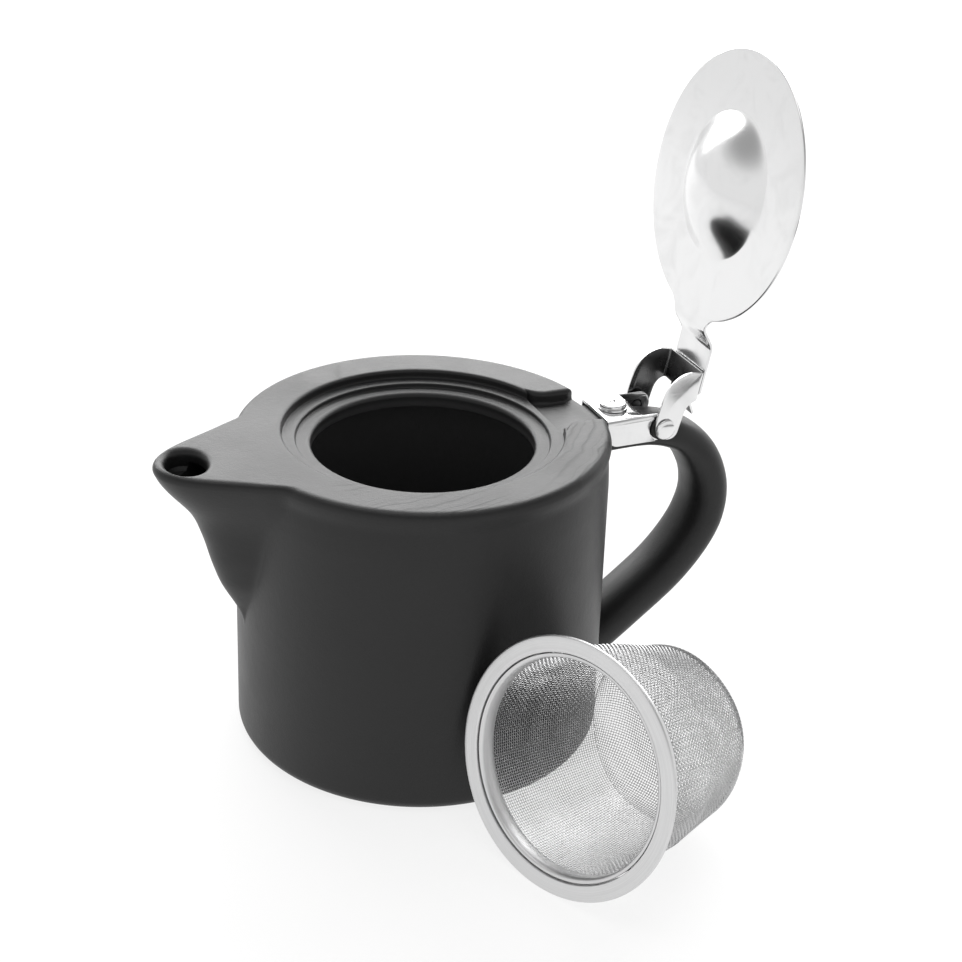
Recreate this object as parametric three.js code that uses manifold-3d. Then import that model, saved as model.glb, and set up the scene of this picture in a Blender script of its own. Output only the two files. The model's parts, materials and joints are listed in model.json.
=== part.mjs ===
// A one-person stoneware teapot with a hinged steel lid and a lift-out mesh infuser.
// Millimetres, +Z up. The origin is on the pot's own axis, on the table. The spout points
// along -X and the handle, which carries the lid's hinge, along +X. The lid stands open and
// the infuser lies on the table in front of the pot, on the -Y side.

import * as THREE from 'three';
import { mergeVertices } from 'three/addons/utils/BufferGeometryUtils.js';
import { ParametricGeometry } from 'three/addons/geometries/ParametricGeometry.js';
import Module from 'manifold-3d';

const wasm = await Module();
wasm.setup();

// ---- driving dimensions ---------------------------------------------------------------

const GAP = 0.3; // clearance kept between neighbouring pieces
const SHEET = 0.8; // thickness of the lid and yoke steel
const RAD = Math.PI / 180;

const POT = {
  baseRadius: 52.6,
  wallRadius: 52.0,
  neckRadius: 51.5,
  topRadius: 49.6,
  height: 91.5,
  footOuter: 49.6,
  footInner: 45.5,
  footHeight: 1.0,
  lidSeatRadius: 39.0,
  lidSeatZ: 88.9,
  rimSeatRadius: 35.2,
  rimSeatZ: 87.5,
  mouthRadius: 30.9,
  mouthBottomZ: 83.0,
  innerRadius: 47.5,
  floorZ: 6.0,
};
const CHANNEL = { halfWidth: 9.8, cornerRadius: 3.0, floorZ: 87.7 };

const SPOUT = {
  tipX: -76.2,
  rootZ: 43.5,
  wall: 4.2,
  roofZ: 88.0,
  holeX: -67.0,
  holeHalfLength: 6.1,
  holeHalfWidth: 9.0,
};

const HANDLE = {
  thickness: 12.8,
  narrowWidth: 15.0,
  wideWidth: 19.0,
  padTopZ: 87.5,
  padEndX: 65.0,
  padBottomZ: 78.0,
};

const BRACKET = {
  frontX: 52.9,
  backX: 64.2,
  topZ: 88.75,
  bottomZ: 80.6,
  halfWidth: 8.85,
  sheet: 0.9,
  earRadius: 4.1,
  cornerRadius: 4.4,
  recess: 0.5,
};

const PIVOT = { x: 70.6, z: 84.4 };
const LID = {
  radius: 37.8,
  reach: 69.8, // pivot to the middle of the disc
  seatHeight: 5.3, // disc's middle plane above the pivot when closed
  tabHeight: 9.4, // tab's middle plane above the pivot when closed
  tabHalfWidth: 8.6,
  tabEnd: 9.6,
  dishRadius: 21.0,
  dishDepth: 7.5,
  openAngle: 100.5 * RAD, // from closed to the open stop
};
const YOKE = { webHeight: 8.2, webStart: 9.4, webEnd: 17.6, innerY: 9.15 };
const RIVET = { shankRadius: 1.4, headRadius: 2.7, headHeight: 1.0 };
const BORE = 1.8; // clearance hole for rivet and screw shanks
const SCREW = { x: 58.4, headRadius: 4.0, headHeight: 2.2, shankRadius: 1.5, bottomZ: 77.5 };

const INFUSER = {
  rimRadius: 34.3,
  rimThickness: 1.2,
  neckOuter: 30.4,
  neckInner: 29.9,
  neckDepth: 6.5,
  meshOuter: 29.6,
  meshSheet: 0.5,
  collarOuter: 28.8,
  collarInner: 28.3,
  collarDepth: 5.0,
  depth: 50.3,
  bottomRadius: 24.5,
  bottomRounding: 8.0,
  x: 5.9,
  y: -86.2,
  azimuth: 23.5 * RAD,
};

// ---- finishes -------------------------------------------------------------------------

const finish = (color, roughness, metalness) =>
  new THREE.MeshStandardMaterial({ color, roughness, metalness });
const glaze = () => finish(0x35373a, 0.62, 0.0);
const polished = () => finish(0xd9dadb, 0.12, 1.0);
const brushed = () => finish(0xbfc1c3, 0.32, 1.0);
const fibre = () => finish(0x222222, 0.8, 0.0);
const brass = () => finish(0xb08a4a, 0.35, 1.0);

// ---- solids ---------------------------------------------------------------------------

// A closed three.js geometry as a solid that can be joined and cut.
function solid(geometry) {
  const bare = geometry.index ? geometry.toNonIndexed() : geometry.clone();
  bare.deleteAttribute('normal');
  bare.deleteAttribute('uv');
  const merged = mergeVertices(bare, 1e-4);
  const index = merged.index.array;
  const kept = [];
  for (let i = 0; i < index.length; i += 3) {
    const [a, b, c] = [index[i], index[i + 1], index[i + 2]];
    if (a !== b && b !== c && c !== a) kept.push(a, b, c);
  }
  const vertProperties = new Float32Array(merged.attributes.position.array);
  const triVerts = new Uint32Array(kept);
  return new wasm.Manifold(new wasm.Mesh({ numProp: 3, vertProperties, triVerts }));
}

// A named mesh from a solid.
function piece(name, shape, material) {
  const { vertProperties, triVerts } = shape.getMesh();
  const geometry = new THREE.BufferGeometry();
  geometry.setAttribute('position', new THREE.BufferAttribute(new Float32Array(vertProperties), 3));
  geometry.setIndex(new THREE.BufferAttribute(new Uint32Array(triVerts), 1));
  geometry.computeVertexNormals();
  const mesh = new THREE.Mesh(geometry, material);
  mesh.name = name;
  return mesh;
}

// A solid of revolution about +Z from [radius, height] pairs, given anticlockwise.
function turned(profile, segments = 56) {
  const points = profile.map(([r, z]) => new THREE.Vector2(r, z));
  const geometry = new THREE.LatheGeometry(points, segments);
  geometry.rotateX(Math.PI / 2);
  return solid(geometry);
}

function cylinder(radius, bottom, top, segments = 24) {
  const geometry = new THREE.CylinderGeometry(radius, radius, top - bottom, segments);
  geometry.rotateX(Math.PI / 2);
  geometry.translate(0, 0, (top + bottom) / 2);
  return solid(geometry);
}

// A cylinder about an axis parallel to Y, through x, z.
function crossCylinder(radius, x, z, y0, y1, segments = 24) {
  const geometry = new THREE.CylinderGeometry(radius, radius, y1 - y0, segments);
  geometry.translate(x, (y0 + y1) / 2, z);
  return solid(geometry);
}

function box(x0, x1, y0, y1, z0, z1) {
  const geometry = new THREE.BoxGeometry(x1 - x0, y1 - y0, z1 - z0);
  geometry.translate((x0 + x1) / 2, (y0 + y1) / 2, (z0 + z1) / 2);
  return solid(geometry);
}

// A flat shape drawn in X and Z, given thickness from y0 to y1.
function slab(shape, y0, y1, curveSegments = 8) {
  const geometry = new THREE.ExtrudeGeometry(shape, {
    depth: y1 - y0,
    bevelEnabled: false,
    curveSegments,
  });
  geometry.rotateX(Math.PI / 2);
  geometry.translate(0, y1, 0);
  return solid(geometry);
}

// A closed body swept through rings: ring(v, angle) gives a point, and the ends are closed
// at the points first and last.
function lofted(ring, first, last, slices, stacks) {
  const along = stacks + 2;
  const surface = (u, v, target) => {
    const row = Math.round(v * along);
    if (row === 0) target.copy(first);
    else if (row === along) target.copy(last);
    else target.copy(ring((row - 1) / stacks, u === 0 ? 0 : (1 - u) * 2 * Math.PI));
  };
  return solid(new ParametricGeometry(surface, slices, along));
}

// A value read from [key, value] pairs, in a straight line between neighbours.
function between(table, key) {
  if (key <= table[0][0]) return table[0][1];
  for (let i = 1; i < table.length; i += 1) {
    const [k0, v0] = table[i - 1];
    const [k1, v1] = table[i];
    if (key <= k1) return THREE.MathUtils.lerp(v0, v1, (key - k0) / (k1 - k0));
  }
  return table[table.length - 1][1];
}

// ---- pot ------------------------------------------------------------------------------

function potBody() {
  const { height, baseRadius, wallRadius, neckRadius, topRadius } = POT;
  const shell = turned([
    [0, POT.footHeight],
    [POT.footInner - 1, POT.footHeight],
    [POT.footInner, 0],
    [POT.footOuter, 0],
    [baseRadius - 0.8, 0.9],
    [baseRadius, 3],
    [(baseRadius + wallRadius) / 2, 40],
    [wallRadius, 78],
    [neckRadius, 85.5],
    [wallRadius, 87.8],
    [wallRadius - 0.2, 89.6],
    [topRadius + 1.3, 91],
    [topRadius, height],
    [POT.lidSeatRadius + 0.9, height],
    [POT.lidSeatRadius, height - 0.7],
    [POT.lidSeatRadius, POT.lidSeatZ],
    [POT.rimSeatRadius, POT.lidSeatZ],
    [POT.rimSeatRadius, POT.rimSeatZ],
    [POT.mouthRadius + 0.6, POT.rimSeatZ],
    [POT.mouthRadius, POT.rimSeatZ - 0.6],
    [POT.mouthRadius, POT.mouthBottomZ + 0.8],
    [POT.mouthRadius + 1.2, POT.mouthBottomZ],
    [POT.innerRadius - 3.5, POT.mouthBottomZ - 1.5],
    [POT.innerRadius, POT.mouthBottomZ - 5.5],
    [POT.innerRadius, POT.floorZ + 6],
    [POT.innerRadius - 2, POT.floorZ + 2],
    [POT.innerRadius - 7, POT.floorZ],
    [0, POT.floorZ],
  ]);
  return shell.subtract(channelCut()).subtract(spoutPassage());
}

// The open channel through the flange for the lid's tab, between rounded cheeks.
function channelCut() {
  const { halfWidth, cornerRadius } = CHANNEL;
  const inner = POT.lidSeatRadius - 2;
  const outer = POT.wallRadius + 4;
  const shape = new THREE.Shape();
  const flare = cornerRadius + 3;
  shape.moveTo(inner, -halfWidth - flare);
  shape.quadraticCurveTo(inner + flare - 1, -halfWidth, inner + flare + 2, -halfWidth);
  shape.lineTo(outer - flare, -halfWidth);
  shape.quadraticCurveTo(outer - 2, -halfWidth, outer, -halfWidth - flare);
  shape.lineTo(outer, halfWidth + flare);
  shape.quadraticCurveTo(outer - 2, halfWidth, outer - flare, halfWidth);
  shape.lineTo(inner + flare + 2, halfWidth);
  shape.quadraticCurveTo(inner + flare - 1, halfWidth, inner, halfWidth + flare);
  const geometry = new THREE.ExtrudeGeometry(shape, {
    depth: POT.height + 4 - CHANNEL.floorZ,
    bevelEnabled: false,
    curveSegments: 5,
  });
  geometry.translate(0, 0, CHANNEL.floorZ);
  return solid(geometry);
}

// Height against: where the spout's front stands, how wide it meets the wall, and how wide
// its neck is.
const SPOUT_FRONT = [
  [43, -53.2], [47, -55.2], [50.5, -57.2], [54, -58.9], [60.6, -61.0], [67, -62.6],
  [73.6, -64.8], [77, -66.6], [80.5, -69.6], [84, -72.6], [87, -74.6], [89.6, -75.8],
  [91.5, SPOUT.tipX],
];
const SPOUT_ROOT = [[43, 3], [47.4, 6.6], [53.6, 11], [63, 15.2], [72.4, 18.8], [80, 22.2], [91.5, 26.5]];
const SPOUT_NECK = [[43, 2], [47.4, 4.6], [53.6, 7.6], [63, 9.8], [72.4, 10.9], [80, 12.3], [91.5, 15.0]];

// The plan outline of the spout at height z, drawn in by inset, from the wall round its front.
function spoutRing(z, angle, inset) {
  const root = between(SPOUT_ROOT, z) - inset;
  const neck = between(SPOUT_NECK, z) - inset;
  const front = between(SPOUT_FRONT, z) + inset;
  const back = -44;
  const turn = angle / Math.PI; // 0..1 along one side, 1..2 back along the other
  const side = turn <= 1 ? 1 : -1;
  const s = turn <= 1 ? turn : 2 - turn; // 0 at the back, 1 at the front
  const reach = Math.sin((s * Math.PI) / 2);
  const x = back + (front - back) * reach;
  const half = neck * Math.sqrt(1 - reach ** 3) + (root - neck) * (1 - reach) ** 2.2;
  return new THREE.Vector3(x, -side * Math.max(half, 0), z);
}

function spoutLoft(bottom, top, inset, stacks) {
  const first = new THREE.Vector3(-50, 0, bottom);
  const last = new THREE.Vector3(-60, 0, top);
  const ring = (v, angle) => spoutRing(THREE.MathUtils.lerp(bottom, top, v), angle, inset);
  return lofted(ring, first, last, 28, stacks);
}

// The way through the wall and up the spout to its mouth.
function spoutPassage() {
  const inside = spoutLoft(52, SPOUT.roofZ, SPOUT.wall, 8);
  const hole = cylinder(1, SPOUT.roofZ - 0.8, POT.height + 2, 28)
    .scale([SPOUT.holeHalfLength, SPOUT.holeHalfWidth, 1])
    .translate([SPOUT.holeX, 0, 0]);
  return inside.add(hole);
}

function potSpout() {
  const outside = spoutLoft(SPOUT.rootZ, POT.height, 0, 14);
  const wall = cylinder(POT.baseRadius + GAP, 0, POT.height + 2, 56);
  return outside.subtract(spoutPassage()).subtract(wall);
}

// The handle's centre line, from its root under the hinge to its root near the base.
const HANDLE_LINE = new THREE.CatmullRomCurve3([
  new THREE.Vector3(46, 0, 79.5),
  new THREE.Vector3(58, 0, 80.4),
  new THREE.Vector3(70, 0, 80.0),
  new THREE.Vector3(79.5, 0, 76.6),
  new THREE.Vector3(86.8, 0, 70.0),
  new THREE.Vector3(90.6, 0, 61.2),
  new THREE.Vector3(90.4, 0, 52.4),
  new THREE.Vector3(86.6, 0, 43.6),
  new THREE.Vector3(78.3, 0, 33.4),
  new THREE.Vector3(65.4, 0, 22.8),
  new THREE.Vector3(55.5, 0, 15.2),
  new THREE.Vector3(46.5, 0, 8.6),
]);

function handleSweep() {
  const { narrowWidth, wideWidth, thickness } = HANDLE;
  const ring = (v, angle) => {
    const centre = HANDLE_LINE.getPointAt(v);
    const tangent = HANDLE_LINE.getTangentAt(v);
    const normal = new THREE.Vector3(tangent.z, 0, -tangent.x);
    const width = between([[0.3, narrowWidth], [0.5, wideWidth], [1, wideWidth]], v);
    return centre
      .addScaledVector(normal, (Math.cos(angle) * thickness) / 2)
      .add(new THREE.Vector3(0, (-Math.sin(angle) * width) / 2, 0));
  };
  return lofted(ring, HANDLE_LINE.getPointAt(0), HANDLE_LINE.getPointAt(1), 18, 26);
}

function potHandle() {
  const { padTopZ, padBottomZ, padEndX, narrowWidth } = HANDLE;
  const pad = box(48, padEndX, -narrowWidth / 2, narrowWidth / 2, padBottomZ, padTopZ);
  const wall = cylinder(POT.baseRadius + GAP, -2, POT.height + 2, 56);
  const hole = cylinder(4, SCREW.bottomZ - 1.2, padTopZ + 1, 20).translate([SCREW.x, 0, 0]);
  return handleSweep().add(pad).subtract(wall).subtract(hole);
}

// ---- hinge ----------------------------------------------------------------------------

// One side of the bracket: a skirt that ends in an ear round the pivot.
function skirtShape() {
  const { frontX, topZ, bottomZ, cornerRadius, earRadius } = BRACKET;
  const middle = (topZ + bottomZ) / 2;
  const shape = new THREE.Shape();
  shape.moveTo(frontX, topZ);
  shape.lineTo(frontX, bottomZ + cornerRadius);
  shape.quadraticCurveTo(frontX, bottomZ, frontX + cornerRadius, bottomZ);
  shape.lineTo(PIVOT.x, bottomZ);
  shape.absarc(PIVOT.x, middle, earRadius, -Math.PI / 2, Math.PI / 2, false);
  shape.lineTo(frontX, topZ);
  return shape;
}

function hingeBracket() {
  const { frontX, backX, topZ, halfWidth, sheet, recess } = BRACKET;
  const inner = halfWidth - sheet;
  const plate = box(frontX, backX, -halfWidth, halfWidth, topZ - sheet, topZ);
  let bracket = plate;
  for (const side of [-1, 1]) {
    const [y0, y1] = side > 0 ? [inner, halfWidth] : [-halfWidth, -inner];
    const face = side * (halfWidth - recess);
    const [r0, r1] = side > 0 ? [face, halfWidth + 1] : [-halfWidth - 1, face];
    bracket = bracket.add(slab(skirtShape(), y0, y1));
    bracket = bracket.subtract(crossCylinder(4.4, PIVOT.x, PIVOT.z, r0, r1));
    bracket = bracket.subtract(crossCylinder(BORE, PIVOT.x, PIVOT.z, y0 - 1, y1 + 1, 16));
  }
  const hole = cylinder(BORE + 0.2, topZ - 3, topZ + 3, 16).translate([SCREW.x, 0, 0]);
  return bracket.subtract(hole);
}

function screwAnchor() {
  const top = HANDLE.padTopZ - 0.2;
  const sleeve = cylinder(3.6, SCREW.bottomZ - 0.8, top, 20);
  return sleeve.subtract(cylinder(SCREW.shankRadius + GAP, 70, top + 1, 16));
}

function screwWasher() {
  const bottom = BRACKET.topZ + 0.15;
  const disc = cylinder(4.3, bottom, bottom + 0.5, 24);
  return disc.subtract(cylinder(BORE + 0.2, bottom - 1, bottom + 2, 16));
}

// A pan head with a cross recess on a plain shank.
function bracketScrew() {
  const seat = BRACKET.topZ + 0.85;
  const { headRadius, headHeight, shankRadius, bottomZ } = SCREW;
  const body = turned(
    [
      [0, bottomZ],
      [shankRadius, bottomZ],
      [shankRadius, seat],
      [headRadius, seat],
      [headRadius, seat + headHeight * 0.55],
      [headRadius * 0.86, seat + headHeight * 0.9],
      [headRadius * 0.5, seat + headHeight],
      [0, seat + headHeight],
    ],
    24,
  );
  const depth = seat + headHeight - 1.1;
  const blade = (angle) => box(-1.9, 1.9, -0.3, 0.3, depth, seat + 5).rotate([0, 0, angle]);
  return body.subtract(blade(20)).subtract(blade(110));
}

function pivotWasher() {
  const { halfWidth, recess } = BRACKET;
  const y0 = halfWidth - recess + 0.1;
  const y1 = YOKE.innerY - 0.1;
  const disc = crossCylinder(3.8, 0, 0, y0, y1, 24);
  return disc.subtract(crossCylinder(BORE, 0, 0, y0 - 1, y1 + 1, 16));
}

// The rivet's axis is along +Y, and its head is outermost.
function pivotRivet() {
  const { shankRadius, headRadius, headHeight } = RIVET;
  const start = BRACKET.halfWidth - BRACKET.sheet;
  const seat = YOKE.innerY + SHEET + 0.2;
  const body = turned(
    [
      [0, start],
      [shankRadius, start],
      [shankRadius, seat],
      [headRadius, seat],
      [headRadius, seat + headHeight * 0.5],
      [headRadius * 0.72, seat + headHeight * 0.9],
      [0, seat + headHeight],
    ],
    20,
  );
  return body.rotate([-90, 0, 0]);
}

// ---- lid ------------------------------------------------------------------------------
// The lid's pieces are made closed, with the pivot at the origin and the disc towards -X,
// and a group opens them.

function lidPlate() {
  const { radius, reach, seatHeight, tabHeight, tabHalfWidth, dishRadius, dishDepth } = LID;
  const half = SHEET / 2;
  const drop = [
    [0, dishDepth],
    [dishRadius * 0.35, dishDepth * 0.9],
    [dishRadius * 0.62, dishDepth * 0.64],
    [dishRadius * 0.8, dishDepth * 0.34],
    [dishRadius * 0.92, dishDepth * 0.1],
    [dishRadius, 0],
  ];
  const under = drop.map(([r, d]) => [r, -half - d]);
  const over = drop.map(([r, d]) => [r, half - d]).reverse();
  const disc = turned([...under, [radius, -half], [radius, half], ...over], 64)
    .translate([-reach, 0, seatHeight]);
  const shape = new THREE.Shape();
  const edge = reach - radius;
  const rise = tabHeight - seatHeight;
  shape.moveTo(-edge - 2, seatHeight - half);
  shape.lineTo(-edge + 1, seatHeight - half);
  shape.lineTo(-edge + 1 + rise * 1.6, tabHeight - half);
  shape.lineTo(-LID.tabEnd, tabHeight - half);
  shape.lineTo(-LID.tabEnd, tabHeight + half);
  shape.lineTo(-edge + 0.6 + rise * 1.6, tabHeight + half);
  shape.lineTo(-edge + 0.6, seatHeight + half);
  shape.lineTo(-edge - 2, seatHeight + half);
  return disc.add(slab(shape, -tabHalfWidth, tabHalfWidth));
}

// A cheek of the yoke: a leg from the pivot that widens into a rounded lobe.
function cheekShape() {
  const { webHeight, webStart, webEnd } = YOKE;
  const top = webHeight + SHEET / 2;
  const shape = new THREE.Shape();
  shape.moveTo(2.4, 4.2);
  shape.lineTo(-5.2, 4.8);
  shape.quadraticCurveTo(-webStart + 1, 5.4, -webStart, top);
  shape.lineTo(-webEnd, top);
  shape.lineTo(-webEnd, 4.4);
  shape.quadraticCurveTo(-16.4, -1.0, -10, -2.6);
  shape.lineTo(-1, -3);
  shape.quadraticCurveTo(2.9, -2.9, 3.2, 0.4);
  shape.lineTo(2.4, 4.2);
  return shape;
}

function lidYoke() {
  const { webHeight, webStart, webEnd, innerY } = YOKE;
  const outerY = innerY + SHEET;
  const half = SHEET / 2;
  let yoke = box(-webEnd, -webStart, -outerY, outerY, webHeight - half, webHeight + half);
  for (const side of [-1, 1]) {
    const [y0, y1] = side > 0 ? [innerY, outerY] : [-outerY, -innerY];
    yoke = yoke.add(slab(cheekShape(), y0, y1));
    yoke = yoke.subtract(crossCylinder(BORE, 0, 0, y0 - 1, y1 + 1, 16));
  }
  return yoke.add(stopTongue());
}

// The tongue bent from the web's end, which meets the handle at the open stop.
function stopTongue() {
  const { webHeight, webStart } = YOKE;
  const half = SHEET / 2;
  const shape = new THREE.Shape();
  shape.moveTo(-webStart - 1, webHeight - half);
  shape.lineTo(-webStart + 2.2, webHeight - half);
  shape.lineTo(-webStart + 6.4, webHeight + 2.6);
  shape.lineTo(-webStart + 6.0, webHeight + 3.4);
  shape.lineTo(-webStart + 1.9, webHeight + half);
  shape.lineTo(-webStart - 1, webHeight + half);
  return slab(shape, -5, 5);
}

// ---- infuser --------------------------------------------------------------------------
// Made upright with the top of its rim at z = 0 and its cup below, then laid down.

function infuserRim() {
  const { rimRadius, rimThickness, neckInner, neckOuter, neckDepth } = INFUSER;
  return turned([
    [neckInner, -neckDepth],
    [neckOuter, -neckDepth],
    [neckOuter, -rimThickness],
    [rimRadius - 0.3, -rimThickness],
    [rimRadius, -rimThickness + 0.3],
    [rimRadius, -0.3],
    [rimRadius - 0.3, 0],
    [neckInner, 0],
    [neckInner, -neckDepth],
  ]);
}

function infuserCollar() {
  const { collarInner, collarOuter, collarDepth } = INFUSER;
  return turned([
    [collarInner, -collarDepth],
    [collarOuter, -collarDepth],
    [collarOuter, -0.2],
    [collarInner, -0.2],
    [collarInner, -collarDepth],
  ]);
}

// The cup's outer profile from the middle of its bottom to its top, drawn in by inset.
function cupProfile(inset) {
  const { meshOuter, depth, bottomRadius, bottomRounding } = INFUSER;
  const steps = 6;
  const points = [[0, -depth + inset]];
  for (let i = 0; i <= steps; i += 1) {
    const turn = (i / steps) * (Math.PI / 2);
    const r = bottomRadius - bottomRounding + (bottomRounding - inset) * Math.sin(turn);
    const z = -depth + bottomRounding - (bottomRounding - inset) * Math.cos(turn);
    points.push([r, z]);
  }
  points.push([meshOuter - 1.4 - inset, -24]);
  points.push([meshOuter - inset, -8]);
  points.push([meshOuter - inset, -0.6]);
  return points;
}

function infuserMesh() {
  const inside = cupProfile(INFUSER.meshSheet).reverse();
  return turned([...cupProfile(0), ...inside], 48);
}

// How far the lying infuser's axis dips, so that its rim and its cup both touch the table.
function infuserDip() {
  const { rimRadius, depth, bottomRadius, bottomRounding } = INFUSER;
  const along = depth - bottomRounding;
  const across = rimRadius - (bottomRadius - bottomRounding);
  return Math.acos(bottomRounding / Math.hypot(along, across)) - Math.atan2(along, across);
}

// ---- assembly -------------------------------------------------------------------------

const teapot = new THREE.Group();

teapot.add(piece('pot_body', potBody(), glaze()));
teapot.add(piece('pot_spout', potSpout(), glaze()));
teapot.add(piece('pot_handle', potHandle(), glaze()));
teapot.add(piece('hinge_bracket', hingeBracket(), polished()));

const screwPlace = new THREE.Group();
screwPlace.position.x = SCREW.x;
screwPlace.add(piece('screw_anchor', screwAnchor(), brass()));
screwPlace.add(piece('screw_washer', screwWasher(), polished()));
screwPlace.add(piece('bracket_screw', bracketScrew(), polished()));
teapot.add(screwPlace);

const sides = { near: Math.PI, far: 0 };
for (const [side, turn] of Object.entries(sides)) {
  const place = new THREE.Group();
  place.position.set(PIVOT.x, 0, PIVOT.z);
  place.rotation.z = turn;
  place.add(piece(`pivot_washer_${side}`, pivotWasher(), fibre()));
  place.add(piece(`pivot_rivet_${side}`, pivotRivet(), polished()));
  teapot.add(place);
}

const lid = new THREE.Group();
lid.position.set(PIVOT.x, 0, PIVOT.z);
lid.rotation.y = LID.openAngle;
lid.add(piece('lid_plate', lidPlate(), polished()));
lid.add(piece('lid_yoke', lidYoke(), polished()));
teapot.add(lid);

const dip = infuserDip();
const infuser = new THREE.Group();
infuser.position.set(INFUSER.x, INFUSER.y, INFUSER.rimRadius * Math.cos(dip));
infuser.rotation.set(0, -Math.PI / 2 + dip, INFUSER.azimuth, 'ZYX');
infuser.add(piece('infuser_rim', infuserRim(), brushed()));
infuser.add(piece('infuser_collar', infuserCollar(), polished()));
infuser.add(piece('infuser_mesh', infuserMesh(), brushed()));
teapot.add(infuser);

export default teapot;
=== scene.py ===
"""A one-person stoneware teapot with a hinged steel lid, and its woven-wire infuser lying beside it."""

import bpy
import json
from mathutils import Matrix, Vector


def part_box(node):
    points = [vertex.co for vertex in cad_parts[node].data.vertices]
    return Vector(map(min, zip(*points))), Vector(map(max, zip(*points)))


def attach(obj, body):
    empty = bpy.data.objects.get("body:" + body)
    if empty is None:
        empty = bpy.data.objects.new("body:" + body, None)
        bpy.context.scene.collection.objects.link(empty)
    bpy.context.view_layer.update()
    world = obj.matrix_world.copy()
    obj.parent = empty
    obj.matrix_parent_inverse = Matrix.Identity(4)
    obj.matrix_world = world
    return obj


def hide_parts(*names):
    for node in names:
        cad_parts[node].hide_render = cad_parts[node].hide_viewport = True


bl_info = {
    "name": "Teapot with Infuser",
    "version": (1, 0, 0),
    "blender": (4, 5, 0),
    "location": "View3D > Sidebar > Teapot",
    "description": "Builds a stoneware teapot, its hinged steel lid and its mesh infuser",
    "category": "Object",
}

import json
import math

import bpy
import numpy as np
from bpy.props import FloatProperty, FloatVectorProperty, IntProperty, PointerProperty
from mathutils import Matrix, Vector

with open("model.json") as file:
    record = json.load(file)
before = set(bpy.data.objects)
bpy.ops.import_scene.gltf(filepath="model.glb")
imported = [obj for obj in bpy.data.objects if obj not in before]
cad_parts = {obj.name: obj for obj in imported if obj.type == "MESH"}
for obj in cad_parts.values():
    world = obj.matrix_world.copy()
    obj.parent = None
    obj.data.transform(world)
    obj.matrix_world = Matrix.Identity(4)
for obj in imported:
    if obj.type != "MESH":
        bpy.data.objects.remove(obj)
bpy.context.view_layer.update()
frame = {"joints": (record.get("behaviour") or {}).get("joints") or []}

MM = 0.001
JOINTS = {joint["name"]: joint for joint in frame["joints"]}
PIVOT = Vector(JOINTS["lid_hinge"]["pos_m"]) / MM
OPEN_ANGLE = -math.radians(JOINTS["lid_hinge"]["range_deg"][0])


# ---- sizes and colours ------------------------------------------------------------------


def length(name, description, millimetres):
    """A length property, in metres, from a size in millimetres."""
    return FloatProperty(
        name=name, description=description, default=millimetres * MM, min=0.0001,
        precision=5, unit="LENGTH", subtype="DISTANCE",
    )


def colour(name, description, value):
    """A linear colour property."""
    return FloatVectorProperty(
        name=name, description=description, default=value, size=3, min=0.0, max=1.0, subtype="COLOR",
    )


class PotSettings(bpy.types.PropertyGroup):
    """Sizes and colour of the stoneware."""

    height: length("Height", "Height of the flat top above the table", 91.5)
    edge_rounding: length("Edge rounding", "Rounding of the top's outer edge", 2.4)
    lid_seat_radius: length("Lid seat radius", "Radius of the recess that takes the lid", 39.0)
    mouth_radius: length("Mouth radius", "Radius of the opening", 30.9)
    spout_blend: length("Spout blend", "How widely the spout's sides melt into the wall", 1.6)
    handle_thickness: length("Handle thickness", "Thickness of the handle's section", 12.8)
    handle_width: length("Handle width", "Width of the handle below its crown", 19.0)
    glaze: colour("Glaze", "Colour of the matt glaze", (0.009, 0.009, 0.0092))
    # painted light: the inside colour is a lighter tone of the glaze that stands in for the light falling
    # into the pot
    inside: colour("Inside", "Colour of the glaze inside the pot", (0.06, 0.06, 0.061))
    # a pale line at the foot: bare clay, and also a painted highlight on the foot's rounded edge
    bare_foot_and_highlight: colour("Bare clay", "Colour of the unglazed line at the foot", (0.16, 0.155, 0.15))


class HingeSettings(bpy.types.PropertyGroup):
    """Sizes of the bracket and its fastenings."""

    sheet: length("Sheet", "Thickness of the bracket's steel", 0.9)
    half_width: length("Half width", "Half the bracket's outer width", 8.85)
    screw_head_radius: length("Screw head radius", "Radius of the pan head", 4.0)
    rivet_head_radius: length("Rivet head radius", "Radius of the pivot rivets' domed heads", 3.0)
    steel: colour("Steel", "Colour of the polished steel", (0.74, 0.74, 0.742))


class LidSettings(bpy.types.PropertyGroup):
    """Sizes of the lid and its yoke."""

    radius: length("Disc radius", "Radius of the lid's disc", 37.8)
    sheet: length("Sheet", "Thickness of the lid's steel", 0.8)
    dish_radius: length("Dish radius", "Radius of the pressed dish", 21.0)
    dish_depth: length("Dish depth", "Depth of the pressed dish", 7.5)
    tab_half_width: length("Tab half width", "Half the width of the lid's tab", 8.6)
    steel: colour("Steel", "Colour of the lid's mirror steel", (0.74, 0.74, 0.742))


class InfuserSettings(bpy.types.PropertyGroup):
    """Sizes of the basket."""

    rim_radius: length("Rim radius", "Outer radius of the flat rim", 34.3)
    depth: length("Depth", "Height of the basket", 50.3)
    wire_radius: length("Wire radius", "Radius of the woven wire", 0.105)
    warps: IntProperty(name="Warps", description="Wires that run down the basket's wall", default=240, min=24)
    steel: colour("Steel", "Colour of the satin steel", (0.68, 0.68, 0.682))
    wire: colour("Wire", "Colour of the woven wire", (0.5, 0.5, 0.503))


class StageSettings(bpy.types.PropertyGroup):
    """The floor, the lights and the camera."""

    back: FloatProperty(name="Back light", description="Power of the wide softbox behind the pot",
                        default=57.0, min=0.0, unit="POWER")
    overhead: FloatProperty(name="Overhead light", description="Power of the softbox above the table",
                            default=6.0, min=0.0, unit="POWER")
    focal_length: FloatProperty(name="Focal length", description="Camera lens", default=69.16, min=10.0,
                                unit="CAMERA")


# ---- modelling --------------------------------------------------------------------------


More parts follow.
